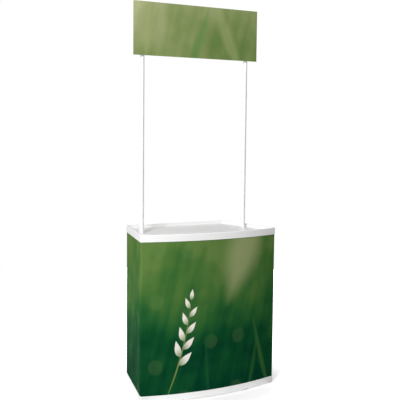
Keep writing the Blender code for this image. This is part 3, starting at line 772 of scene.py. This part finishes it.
def lay_over(tree, under, over, mask, share=1.0):
    """A colour laid over another where a mask says so."""
    factor = maths(tree, "MULTIPLY", mask, share)
    return add(tree, "ShaderNodeMix", {0: factor, 6: under, 7: over}, data_type="RGBA").outputs[2]


def blade(tree, flat, root, turn, length, width, bend, blur):
    """A soft-edged leaf shape on the flat print: its mask, and how far along it a point is."""
    moved = add(tree, "ShaderNodeVectorMath", {0: flat, 1: (*root, 0.0)}, operation="SUBTRACT").outputs[0]
    values = {"Vector": moved, "Angle": -turn}
    turned = add(tree, "ShaderNodeVectorRotate", values, rotation_type="Z_AXIS").outputs[0]
    parts = add(tree, "ShaderNodeSeparateXYZ", {0: turned}).outputs
    along = maths(tree, "DIVIDE", parts["X"], length, clamp=True)
    swell = maths(tree, "SINE", maths(tree, "MULTIPLY", maths(tree, "POWER", along, BELLY), math.pi))
    curve = maths(tree, "MULTIPLY", maths(tree, "MULTIPLY", along, along), bend)
    off = maths(tree, "ABSOLUTE", maths(tree, "SUBTRACT", parts["Y"], curve))
    inside = maths(tree, "SUBTRACT", maths(tree, "MULTIPLY", swell, width), off)
    return between(tree, inside, 0.0, 1.0, 0.0, 2 * blur, interpolation_type="SMOOTHSTEP"), along


def lay_blades(tree, flat, colour, rows):
    """Lays soft blades over a colour: root, lean, length, half width, bend, blur, colour, share of each."""
    for root, degrees, length, width, bend, blur, tint, share in rows:
        mask, _ = blade(tree, flat, root, math.radians(degrees), length, width, bend, blur)
        colour = lay_over(tree, colour, tint, mask, share)
    return colour


def soft_greens(tree, flat, rise, drift, stops):
    """A blurred ground of greens that follows a rise, with clouds, faint leaning streaks and soft discs."""
    shifted = add(tree, "ShaderNodeMapping", {"Vector": flat, "Location": drift}).outputs[0]
    leaning = add(tree, "ShaderNodeMapping", {"Vector": shifted, "Rotation": STREAK_TURN}).outputs[0]
    drawn = add(tree, "ShaderNodeMapping", {"Vector": leaning, "Scale": STREAK_SCALE}).outputs[0]
    for place, pattern, share in ((shifted, CLOUD, CLOUD_SHARE), (drawn, STREAK, STREAK_SHARE)):
        swing = between(tree, noise(tree, place, **pattern), -share / 2, share / 2, 0.0, 1.0)
        rise = maths(tree, "ADD", rise, swing)
    values = {"Vector": shifted, "Scale": DISC_PITCH, "Randomness": DISC_SPREAD}
    cells = add(tree, "ShaderNodeTexVoronoi", values, voronoi_dimensions="2D").outputs
    disc = between(tree, cells["Distance"], 0.0, 1.0, *DISC_EDGE, interpolation_type="SMOOTHSTEP")
    chance = add(tree, "ShaderNodeSeparateColor", {0: cells["Color"]}).outputs[0]
    shown = maths(tree, "MULTIPLY", disc, maths(tree, "GREATER_THAN", chance, DISC_CHANCE))
    return lay_over(tree, blend_colours(tree, rise, *stops), DISC_COLOUR, shown, DISC_SHARE)


def film_face(tree, shader, colour):
    """Gives a printed film its colour, a slightly uneven gloss and a faint grain."""
    place = coords(tree)
    gloss = between(tree, noise(tree, place, **FILM_HAZE), *FILM_GLOSS)
    feed(tree, shader, {"Base Color": colour, "Roughness": gloss})
    grain(tree, shader, noise(tree, place, **FILM_BUMPS), FILM_RELIEF)


BELLY = 0.75
CLOUD = {"pitch": 3.6, "detail": 2.5, "rough": 0.55}
CLOUD_SHARE = 0.9
STREAK = {"pitch": 1.0, "detail": 3.0}
STREAK_TURN = (0, 0, 0.22)
STREAK_SCALE = (15.0, 1.6, 1.0)
STREAK_SHARE = 0.55
DISC_PITCH = 6.0
DISC_SPREAD = 0.6
DISC_EDGE = (0.30, 0.20)
DISC_CHANCE = 0.66
DISC_COLOUR = (0.16, 0.27, 0.09, 1.0)
DISC_SHARE = 0.10
WALL_DRIFT = (3.1, 0.4, 0.0)
WALL_GREENS = (
    (0.05, (0.0012, 0.034, 0.016)),
    (0.26, (0.0045, 0.064, 0.019)),
    (0.50, (0.021, 0.106, 0.025)),
    (0.74, (0.054, 0.144, 0.031)),
    (0.94, (0.100, 0.182, 0.045)),
)
WALL_BLADES = (
    ((0.30, 1.02), -118, 0.62, 0.17, 0.06, 0.07, (0.27, 0.31, 0.14, 1.0), 0.85),
    ((0.42, -0.10), 112, 0.62, 0.026, -0.06, 0.010, (0.050, 0.150, 0.035, 1.0), 0.55),
    ((0.22, -0.08), 74, 0.50, 0.022, 0.05, 0.009, (0.028, 0.115, 0.030, 1.0), 0.55),
    ((-0.02, -0.12), 100, 0.66, 0.018, -0.09, 0.008, (0.010, 0.075, 0.026, 1.0), 0.60),
    ((-0.52, -0.10), 84, 0.74, 0.022, 0.07, 0.010, (0.030, 0.120, 0.032, 1.0), 0.50),
    ((-0.74, -0.10), 78, 0.60, 0.024, 0.05, 0.012, (0.024, 0.105, 0.030, 1.0), 0.50),
    ((0.66, -0.12), 104, 0.66, 0.026, -0.05, 0.012, (0.030, 0.115, 0.030, 1.0), 0.50),
)
STEM_ROOT = (-0.30, -0.03)
STEM_TURN = math.radians(66)
STEM_LENGTH = 0.60
STEM_WIDTH = 0.0052
STEM_BEND = 0.10
STEM_BLUR = 0.0008
STEM_COLOUR = (0.16, 0.20, 0.06, 1.0)
LEAF_COUNT = 9
LEAF_START = 0.36
LEAF_RUN = 0.60
LEAF_SPREAD = math.radians(42)
LEAF_LENGTH = 0.105
LEAF_SHORTER = 0.005
LEAF_WIDTH = 0.2
LEAF_CURL = -0.25
LEAF_BLUR = 0.0012
LEAF_COLOURS = ((0.05, (0.17, 0.26, 0.10)), (0.55, (0.80, 0.76, 0.68)))
wall_print, tree, shader = new_finish("wall_print", **FILM_SURFACE)
flat = coords(tree, "UV")
height = add(tree, "ShaderNodeSeparateXYZ", {0: flat}).outputs["Y"]
rise = maths(tree, "DIVIDE", height, FILM_TOP - FILM_BOTTOM)
colour = lay_blades(tree, flat, soft_greens(tree, flat, rise, WALL_DRIFT, WALL_GREENS), WALL_BLADES)
mask, _ = blade(tree, flat, STEM_ROOT, STEM_TURN, STEM_LENGTH, STEM_WIDTH, STEM_BEND, STEM_BLUR)
colour = lay_over(tree, colour, STEM_COLOUR, mask)
for k in range(LEAF_COUNT):
    s = LEAF_START + LEAF_RUN * k / (LEAF_COUNT - 1)
    root = Vector(STEM_ROOT) + Matrix.Rotation(STEM_TURN, 2) @ Vector((s * STEM_LENGTH, STEM_BEND * s * s))
    side = 0 if k == LEAF_COUNT - 1 else LEAF_SPREAD * (1 if k % 2 else -1)
    lean = STEM_TURN + math.atan(2 * STEM_BEND * s / STEM_LENGTH) + side
    length = LEAF_LENGTH - LEAF_SHORTER * k
    curl = LEAF_CURL * side * length
    mask, along = blade(tree, flat, root, lean, length, LEAF_WIDTH * length, curl, LEAF_BLUR)
    colour = lay_over(tree, colour, blend_colours(tree, along, *LEAF_COLOURS), mask)
film_face(tree, shader, colour)
dress(film, (wall_print, "wall_print"), "counter", "wall_graphic")


# Wall rivets: white plastic push rivets through the folded back edges of the wall sheet into the rear
# posts. Each has a domed head with the flat end of its spreading pin in the middle.
RIVET_HEIGHTS = (0.260, 0.690)
RIVET_Y = 0.25425
RIVET_TAIL = ((0, -0.0078), (0.00175, -0.0078), (0.0025, -0.0058), (0.0025, 0))
RIVET_HEAD = ((0.006, 0), (0.006, 0.00054), (0.00492, 0.00135), (0.00275, 0.0018))
RIVET_PIN = ((0.00264, 0.00126), (0.0022, 0.00153), (0, 0.00153))

rivet = lathe("rivet_pattern", RIVET_TAIL + RIVET_HEAD + RIVET_PIN, steps=32)
smooth(rivet)
back_turns = (-QUARTER, -QUARTER)
for number, z in enumerate(RIVET_HEIGHTS, 1):
    spot = (POST_X, RIVET_Y, z)
    place_pair(rivet, "wall_rivet", "panel_rivet", white_moulding, "counter", spot, "X", back_turns, number)
clear(rivet)


# Shelf rests: a grey moulded block screwed to the front of each rear post, and a grey clamp ring on each
# column with a knurled thumb screw on its inner side. The shelf lies on the blocks and rings.
BLOCK_HALF = 0.006
BLOCK_DEPTH = 0.024
BLOCK_HEIGHT = 0.024
BLOCK_BACK = 0.22965
BLOCK_TOP = 0.4642
BLOCK_EDGE = 0.001
BLOCK_SCREW_LENGTH = 0.0291
RING_RADIUS = 0.024
RING_TOP = 0.4619
RING_HEIGHT = 0.014
RING_EDGE = 0.001
RING_SLOT = 0.0016
THUMB_RADIUS = 0.0056
THUMB_LENGTH = 0.006
THUMB_EASE = (0.0008, 0.0006)
KNURLS = 24
KNURL_HEIGHT = 0.0004
GRIP_TILT = 0.1
GRIP_REACH = 0.9


def bore(piece, depth, place, turn):
    """Drills a screw hole through a piece."""
    tool = new_piece("bore_tool")
    values = {"vertices": HOLE_SIDES, "radius": SCREW_HOLE, "depth": depth}
    bpy.ops.mesh.primitive_cylinder_add(location=place, rotation=turn, **values)
    combine(piece, tool, "DIFFERENCE")


rest = new_piece("rest_pattern")
front_y = BLOCK_BACK - BLOCK_DEPTH
block((-BLOCK_HALF, front_y, BLOCK_TOP - BLOCK_HEIGHT), (BLOCK_HALF, BLOCK_BACK, BLOCK_TOP))
round_edges(folded, BLOCK_EDGE, steps=3)
screw_z = BLOCK_TOP - BLOCK_HEIGHT / 2
bore(rest, 2 * BLOCK_DEPTH, (0, BLOCK_BACK - BLOCK_DEPTH / 2, screw_z), (QUARTER, 0, 0))
smooth(rest)
rest_screw = make_screw("rest_screw_pattern", BLOCK_SCREW_LENGTH)

ring_profile = [(SEAT_RADIUS, 0), (RING_RADIUS, 0), (RING_RADIUS, RING_HEIGHT), (SEAT_RADIUS, RING_HEIGHT)]
ring = lathe("ring_pattern", ring_profile, ring=True)
round_edges(folded, RING_EDGE, steps=3)
tool = new_piece("slot_tool")
block((SEAT_RADIUS / 2, -RING_SLOT / 2, -RING_HEIGHT), (2 * RING_RADIUS, RING_SLOT / 2, 2 * RING_HEIGHT))
combine(ring, tool, "DIFFERENCE")
bore(ring, RING_RADIUS, (-RING_RADIUS, 0, RING_HEIGHT / 2), (0, QUARTER, 0))
smooth(ring)

shank = RING_RADIUS - SEAT_RADIUS
thumb_profile = [(0, -shank), (SCREW_RADIUS, -shank), (SCREW_RADIUS, GAP), (THUMB_RADIUS, GAP)]
thumb_profile += [(THUMB_RADIUS, THUMB_LENGTH - THUMB_EASE[1])]
thumb_profile += [(THUMB_RADIUS - THUMB_EASE[0], THUMB_LENGTH), (0, THUMB_LENGTH)]
thumb = lathe("thumb_pattern", thumb_profile, steps=2 * KNURLS)


def knurl(face):
    """Whether a facet is one of every second round the thumb screw's grip."""
    middle = face.calc_center_median()
    number = math.floor(math.atan2(middle.y, middle.x) / math.pi * KNURLS)
    on_grip = abs(face.normal.z) < GRIP_TILT and middle.xy.length > THUMB_RADIUS * GRIP_REACH
    return on_grip and number % 2 == 0


pick("FACE", knurl)
bpy.ops.mesh.extrude_region_shrink_fatten(TRANSFORM_OT_shrink_fatten={"value": KNURL_HEIGHT})
smooth(thumb, degrees=30)

place_pair(rest, "shelf_rest", "shelf_bracket", grey_plastic, "counter", (POST_X, 0, 0))
spot = (POST_X, front_y - GAP, screw_z)
place_pair(rest_screw, "rest_screw", "bracket_screw", zinc, "counter", spot, "X", (QUARTER, QUARTER))
spot = (POLE_X, POLE_Y, RING_TOP - RING_HEIGHT)
place_pair(ring, "clamp_ring", "shelf_collar", grey_plastic, "counter", spot, "Z", (math.pi, 0))
spot = (POLE_X - RING_RADIUS, POLE_Y, RING_TOP - RING_HEIGHT / 2)
place_pair(thumb, "thumb_screw", "collar_screw", zinc, "counter", spot, "Y", (QUARTER, -QUARTER))
clear(rest, rest_screw, ring, thumb)


# Shelf: one white moulding with a turned-down skirt and ribs below, notched round the rear posts. It slides
# on the columns on two grey bushes that are pressed in from below.
SHELF_TOP = 0.4675
SHELF_INSET = 0.0093
SHELF_WALL = 0.003
SHELF_SKIRT = 0.020
SHELF_CORNER = 0.006
SHELF_ROUND = 0.0025
SHELF_RIB = 0.013
SHELF_HOLE = 0.0173
NOTCH = 0.012
BUSH_BORE = 0.013
BUSH_RADIUS = 0.017
BUSH_FLANGE = 0.021
BUSH_SEAT = -0.0033
BUSH_FOOT = -0.0053
BUSH_EDGE = 0.0004

shelf = new_piece("counter_shelf")
plan_line(SHELF_INSET, SHELF_CORNER, SHELF_TOP)
extrude((0, 0, -SHELF_SKIRT))
flat_band(SHELF_INSET + SHELF_WALL, SHELF_CORNER - SHELF_WALL, SHELF_TOP - SHELF_SKIRT)
extrude((0, 0, SHELF_SKIRT - SHELF_WALL))
bpy.ops.mesh.edge_face_add()
open_at(SHELF_TOP)
bpy.ops.mesh.edge_face_add()
face_out()
round_level(SHELF_TOP, SHELF_ROUND)
shelf_under = SHELF_TOP - SHELF_WALL
tool = rib_tool(False, SHELF_TOP - SHELF_WALL / 2, shelf_under - SHELF_RIB, SHELF_INSET + RIB_INSET)
combine(shelf, tool, "UNION")
tool = new_piece("shelf_tool")
for _, sign in SIDES:
    round_bar(SHELF_HOLE, shelf_under - SHELF_WALL, SHELF_TOP + SHELF_WALL, (sign * POLE_X, POLE_Y))
    near, far = sorted((sign * (POST_X - NOTCH), sign * (POST_X + POST)))
    block((near, POST_Y - NOTCH, shelf_under - SHELF_SKIRT), (far, POST_Y + POST, SHELF_TOP + SHELF_WALL))
combine(shelf, tool, "DIFFERENCE")
smooth(shelf)
dress(shelf, white_moulding, "shelf", "shelf")

bush_profile = [(BUSH_BORE, BUSH_FOOT), (BUSH_FLANGE, BUSH_FOOT), (BUSH_FLANGE, BUSH_SEAT)]
bush_profile += [(BUSH_RADIUS, BUSH_SEAT), (BUSH_RADIUS, -GAP), (BUSH_BORE, -GAP)]
bush = lathe("bush_pattern", bush_profile, ring=True)
round_edges(folded, BUSH_EDGE, steps=2)
smooth(bush)
place_pair(bush, "slide_bush", "shelf_bush", grey_plastic, "shelf", (POLE_X, POLE_Y, SHELF_TOP))
clear(bush)


# Counter top: the tray moulding with its rim up and a hole for each pole, held down on the wall sheet by
# its own weight. Grey sockets screwed below take the pole feet, and sit on the columns.
RIM_Z = 0.939
SOCKET_Z = 0.9097
SOCKET_LENGTH = 0.088
SOCKET_SEAT = 0.060
SOCKET_STOP = 0.003
SOCKET_BORE = 0.011
HOLE_EDGE = 0.0008

top = mould_tray("top_moulding")
tool = new_piece("pole_tool")
for _, sign in SIDES:
    round_bar(SEAT_RADIUS, -2 * TRAY_HEIGHT, TRAY_HEIGHT, (sign * POLE_X, POLE_Y))
combine(top, tool, "DIFFERENCE")
bpy.ops.object.mode_set(mode="EDIT")


def hole_edge(edge):
    """Whether an edge is where a pole's hole breaks the tray's floor."""
    spots = [Vector((sign * POLE_X, POLE_Y)) for _, sign in SIDES]
    near = all(close_to(spots, point.co.xy, SEAT_RADIUS + NEAR) for point in edge.verts)
    return near and at_level(edge, -FLOOR_DROP)


round_edges(hole_edge, HOLE_EDGE, steps=3)
pick_all()
bpy.ops.transform.translate(value=(0, 0, RIM_Z))
smooth(top)
dress(top, white_moulding, "top", "top_tray")

stop = SOCKET_SEAT + SOCKET_STOP
sleeve = [(SLEEVE_RADIUS, SOCKET_LENGTH), (SEAT_RADIUS, SOCKET_LENGTH)]
ledge = [(SEAT_RADIUS, stop), (SOCKET_BORE, stop), (SOCKET_BORE, SOCKET_SEAT), (SEAT_RADIUS, SOCKET_SEAT)]
seat = make_socket("seat_pattern", sleeve + ledge)
hang = (math.pi, math.pi)
fit_sockets(seat, ("pole_seat", "seat_screw"), "pole_socket", "top", SOCKET_Z, -FLANGE - GAP, hang)
clear(seat, socket_screw)


# Poles: two lengths of the same white tube each, pushed together over a hidden grey joiner, with a white
# cap pressed into the top. They stand in the sockets under the counter top.
POLE_FOOT = 0.850
POLE_SPLIT = 1.52375
POLE_TOP = 2.1975
POLE_JOINT = 0.00015
JOINER_RADIUS = 0.0107
JOINER_LENGTH = 0.120
CAP_PLUG = 0.015
CAP_LEAD = (0.001, 0.002)
CAP_RISE = 0.003
CAP_DOME = ((1.0, 0.4), (0.97, 0.72), (0.9, 0.92), (0.78, 1.0))

pole = make_tube("pole_pattern", POLE_FOOT, POLE_SPLIT - POLE_JOINT)
half = JOINER_LENGTH / 2
joiner = make_tube("joiner_pattern", POLE_SPLIT - half, POLE_SPLIT + half, JOINER_RADIUS)
cap_profile = [(0, -CAP_PLUG), (JOINER_RADIUS - CAP_LEAD[0], -CAP_PLUG)]
cap_profile += [(JOINER_RADIUS, CAP_LEAD[1] - CAP_PLUG), (JOINER_RADIUS, GAP), (TUBE_RADIUS, GAP)]
cap_profile += [(TUBE_RADIUS * wide, CAP_RISE * high) for wide, high in CAP_DOME]
cap = lathe("cap_pattern", cap_profile + [(0, CAP_RISE)])
smooth(cap)
for length, rise in (("lower", 0), ("upper", POLE_SPLIT + POLE_JOINT - POLE_FOOT)):
    place_pair(pole, f"sign_pole_{length}", f"pole_{length}", tube_white, "sign", (POLE_X, POLE_Y, rise))
place_pair(joiner, "tube_joiner", "pole_joiner", grey_plastic, "sign", (POLE_X, POLE_Y, 0))
place_pair(cap, "tube_cap", "pole_cap", white_moulding, "sign", (POLE_X, POLE_Y, POLE_TOP))
clear(pole, joiner, cap)


# Header: a board of white foamed plastic with a printed film on its face. White spring clips, stuck to its
# back with grey foam tape, snap round the poles and can be slid along them.
HEADER_HALF = 0.400
HEADER_BOTTOM = 1.9215
HEADER_TOP = 2.2175
BOARD_FRONT = -0.00235
BOARD_BACK = 0.00165
BOARD_EDGE = 0.0004
SKIN_FRONT = -0.00315
SKIN_BACK = -0.00265
SKIN_EDGE = 0.0001
CLIP_HEIGHTS = {"lower": 1.9715, "upper": 2.1675}
CLIP_INNER = 0.013
CLIP_OUTER = 0.016
CLIP_SWEEP = math.radians(260)
CLIP_STEPS = 52
CLIP_HALF = 0.013
PLATE_FRONT = -0.0175
PLATE_BACK = -0.0145
PLATE_HALF = 0.022
PLATE_CORNER = 0.003
CLIP_EDGE = 0.0006
LIP_ROUND = 0.0012
TAPE_FRONT = 0.00195
TAPE_BACK = 0.00295
TAPE_HALF_WIDTH = 0.019
TAPE_HALF_HEIGHT = 0.010
TAPE_EDGE = 0.00015
TAPE_CELLS = {"pitch": 2500.0, "cells": True}

board = new_piece("sign_board")
block((-HEADER_HALF, BOARD_FRONT, HEADER_BOTTOM), (HEADER_HALF, BOARD_BACK, HEADER_TOP))
round_edges(folded, BOARD_EDGE, steps=2)
smooth(board)
foam_board = mottled(
    "foamed_board", "white_sheet",
    dark=(0.80, 0.80, 0.79), light=(0.84, 0.84, 0.83), gloss=(0.52, 0.62),
    cloud={"pitch": 8.0, "detail": 3.0}, bumps={"pitch": 1400.0, "cells": True}, relief=0.12, IOR=1.5,
)
dress(board, foam_board, "header", "header_board")

skin = new_piece("sign_film")
block((-HEADER_HALF, SKIN_FRONT, HEADER_BOTTOM), (HEADER_HALF, SKIN_BACK, HEADER_TOP))
round_edges(folded, SKIN_EDGE, steps=1)
smooth(skin)
HEADER_GREENS = (
    (0.10, (0.095, 0.168, 0.045)),
    (0.32, (0.135, 0.195, 0.060)),
    (0.52, (0.195, 0.245, 0.092)),
    (0.74, (0.265, 0.295, 0.138)),
    (0.95, (0.350, 0.365, 0.192)),
)
HEADER_DRIFT = (5.3, 2.2, 0.0)
HEADER_LEVEL = 0.34
HEADER_RISE = 1.2
HEADER_SLANT = -0.50
HEADER_BLADES = (
    ((0.30, 1.84), 118, 0.56, 0.055, -0.05, 0.020, (0.250, 0.300, 0.120, 1.0), 0.60),
    ((-0.06, 1.84), 64, 0.46, 0.045, 0.06, 0.018, (0.085, 0.200, 0.052, 1.0), 0.60),
    ((-0.33, 1.86), 82, 0.48, 0.040, 0.05, 0.018, (0.270, 0.310, 0.130, 1.0), 0.50),
)
header_print, tree, shader = new_finish("header_print", **FILM_SURFACE)
parts = add(tree, "ShaderNodeSeparateXYZ", {0: coords(tree)}).outputs
flat = add(tree, "ShaderNodeCombineXYZ", {0: parts["X"], 1: parts["Z"]}).outputs[0]
rise = maths(tree, "MULTIPLY", maths(tree, "SUBTRACT", parts["Z"], HEADER_BOTTOM), HEADER_RISE)
rise = maths(tree, "ADD", rise, maths(tree, "MULTIPLY", parts["X"], HEADER_SLANT))
rise = maths(tree, "ADD", rise, HEADER_LEVEL)
colour = lay_blades(tree, flat, soft_greens(tree, flat, rise, HEADER_DRIFT, HEADER_GREENS), HEADER_BLADES)
film_face(tree, shader, colour)
dress(skin, (header_print, "header_print"), "header", "header_graphic")

clip = new_piece("clip_pattern")
lip = QUARTER + (2 * math.pi - CLIP_SWEEP) / 2
new_point((CLIP_INNER * math.cos(lip), CLIP_INNER * math.sin(lip), -CLIP_HALF))
wall_step = CLIP_OUTER - CLIP_INNER
extrude((wall_step * math.cos(lip), wall_step * math.sin(lip), 0))
pick_all()
bpy.ops.mesh.spin(steps=CLIP_STEPS, angle=-CLIP_SWEEP, center=(0, 0, -CLIP_HALF), axis=(0, 0, 1))
pick_all()
extrude((0, 0, 2 * CLIP_HALF))
face_out()


def lip_edge(edge):
    """Whether an edge stands upright at the clip's mouth."""
    return upright(edge) and edge.verts[0].co.y > 0 and folded(edge)


round_edges(lip_edge, LIP_ROUND, steps=4)
tool = new_piece("plate_tool")
block((-PLATE_HALF, PLATE_FRONT, -CLIP_HALF), (PLATE_HALF, PLATE_BACK, CLIP_HALF))
round_edges(lambda edge: abs(edge.verts[0].co.y - edge.verts[1].co.y) > NEAR, PLATE_CORNER, steps=4)
face_out()
combine(clip, tool, "UNION")
bpy.ops.object.mode_set(mode="EDIT")
pick("EDGE", lambda edge: folded(edge) and (at_level(edge, CLIP_HALF) or at_level(edge, -CLIP_HALF)))
bpy.ops.mesh.bevel(offset=CLIP_EDGE / 2, segments=2, affect="EDGES", clamp_overlap=True)
smooth(clip)

tape = new_piece("tape_pattern")
block((-TAPE_HALF_WIDTH, TAPE_FRONT, -TAPE_HALF_HEIGHT), (TAPE_HALF_WIDTH, TAPE_BACK, TAPE_HALF_HEIGHT))
round_edges(folded, TAPE_EDGE, steps=2)
smooth(tape)
foam_tape = mottled(
    "foam_tape", "foam_tape",
    dark=(0.20, 0.20, 0.21), light=(0.34, 0.34, 0.35), stops=(0.1, 0.8), gloss=(0.80, 0.95),
    cloud=TAPE_CELLS, bumps=TAPE_CELLS, relief=0.3, IOR=1.4,
)
for level, z in CLIP_HEIGHTS.items():
    spot = (POLE_X, POLE_Y, z)
    place_pair(clip, f"spring_clip_{level}", f"header_clip_{level}", white_moulding, "header", spot)
    place_pair(tape, f"tape_pad_{level}", f"clip_tape_{level}", foam_tape, "header", (POLE_X, 0, z))
clear(clip, tape)


# Studio: a plain pale floor that glows more strongly further out, painted light that washes its shadows into
# an even white surround;
# a soft light from the front left, a second one from behind on the right, and the camera at the photograph's
# viewing angle.
FLOOR_MIDDLE = 0.45
FLOOR_RADIUS = 4.0
GLOW_START = (0.26, 0.12)
GLOW_SEAM = (FLOOR_MIDDLE, 0.30)
GLOW_END = (0.85, 1.0)
STUDIO_SIDES = 96
FLOOR_PITCH = 2.0
FLOOR_COLOURS = ((0.3, (0.86, 0.86, 0.86)), (0.7, (0.88, 0.88, 0.88)))
SURROUND_RADIUS = 30.0
SURROUND_PITCH = 0.1
SURROUND_COLOURS = ((0.3, (0.99, 0.99, 0.99)), (0.7, (1.0, 1.0, 1.0)))
WHITE = (1.0, 1.0, 1.0, 1.0)
BLACK = (0.0, 0.0, 0.0, 1.0)
floor = new_piece("studio_floor")
bpy.ops.mesh.primitive_circle_add(vertices=STUDIO_SIDES, radius=FLOOR_MIDDLE, fill_type="NGON")
far_floor = new_piece("studio_far_floor")
bpy.ops.mesh.primitive_circle_add(vertices=STUDIO_SIDES, radius=FLOOR_MIDDLE)
bpy.ops.mesh.extrude_region()
spread = FLOOR_RADIUS / FLOOR_MIDDLE
bpy.ops.transform.resize(value=(spread, spread, 1), center_override=(0, 0, 0))
hold(floor)
# Both floors glow, more strongly further from the middle: painted light that lifts the floor to white and
# fades the counter's shadow. The near floor's glow also lights the base from below.
for piece, near, far in ((floor, GLOW_START, GLOW_SEAM), (far_floor, GLOW_SEAM, GLOW_END)):
    glowing_floor_paint, tree, shader = new_finish(f"{piece.name}_paint", Roughness=0.9, Specular_IOR_Level=0.1)
    place = coords(tree)
    colour = blend_colours(tree, noise(tree, place, FLOOR_PITCH), *FLOOR_COLOURS)
    away = add(tree, "ShaderNodeVectorMath", {0: place}, operation="LENGTH").outputs["Value"]
    glow = between(tree, away, near[1], far[1], near[0], far[0])
    feed(tree, shader, {"Base Color": colour, "Emission Color": WHITE, "Emission Strength": glow})
    piece.data.materials.append(glowing_floor_paint)

rings = STUDIO_SIDES // 2
bpy.ops.mesh.primitive_uv_sphere_add(segments=STUDIO_SIDES, ring_count=rings, radius=SURROUND_RADIUS)
surround = bpy.context.object
surround.name = "studio_surround"
white, tree, shader = new_finish("white_surround", Roughness=1.0, Emission_Strength=1.0)
colour = blend_colours(tree, noise(tree, coords(tree), SURROUND_PITCH), *SURROUND_COLOURS)
feed(tree, shader, {"Base Color": BLACK, "Emission Color": colour})
surround.data.materials.append(white)
for setting in ("diffuse", "glossy", "transmission", "volume_scatter", "shadow"):
    setattr(surround, f"visible_{setting}", False)
far_floor.visible_diffuse = False

SKY_LEFT = 0.92
SKY_RIGHT = 0.0
scene = bpy.context.scene
scene.view_settings.view_transform = "Standard"
world = bpy.data.worlds.new("studio")
world.use_nodes = True
sky = world.node_tree
facing = add(sky, "ShaderNodeSeparateXYZ", {0: coords(sky, "Generated")}).outputs["X"]
strength = between(sky, facing, SKY_LEFT, SKY_RIGHT, start=-1.0, end=1.0)
feed(sky, sky.nodes["Background"], {"Color": WHITE, "Strength": strength})
scene.world = world


def lamp(name, place, aim, size, power, shine):
    """A rectangular soft light at a place that looks at another, with or without a reflection of its own."""
    data = bpy.data.lights.new(name, "AREA")
    data.shape = "RECTANGLE"
    data.size, data.size_y = size
    data.energy = power
    light = bpy.data.objects.new(name, data)
    light.location = place
    light.rotation_euler = (Vector(place) - Vector(aim)).to_track_quat("Z", "Y").to_euler()
    light.visible_camera = False
    light.visible_glossy = shine
    scene.collection.objects.link(light)


lamp("key_light", place=(-2.803, -2.707, 3.46), aim=(0, 0, 0.93), size=(1.0, 1.0), power=187, shine=True)
lamp("back_light", place=(2.1, 4.0, 1.3), aim=(0, 0, 1.0), size=(1.6, 2.2), power=130, shine=False)

CAMERA_PLACE = (-2.0823, -4.0119, 1.4963)
CAMERA_YAW = math.radians(27.7474)
CAMERA_PITCH = math.radians(5.0023)
CAMERA_ROLL = math.radians(-0.5740)
FOCAL_PIXELS = 773.59
IMAGE_PIXELS = 400
SENSOR = 36.0
aim = Matrix.Rotation(-CAMERA_YAW, 4, "Z") @ Matrix.Rotation(QUARTER - CAMERA_PITCH, 4, "X")
aim @= Matrix.Rotation(-CAMERA_ROLL, 4, "Z")
camera_data = bpy.data.cameras.new("camera")
camera_data.sensor_width = SENSOR
camera_data.lens = SENSOR * FOCAL_PIXELS / IMAGE_PIXELS
camera = bpy.data.objects.new("camera", camera_data)
camera.matrix_world = Matrix.Translation(CAMERA_PLACE) @ aim
scene.collection.objects.link(camera)
scene.camera = camera
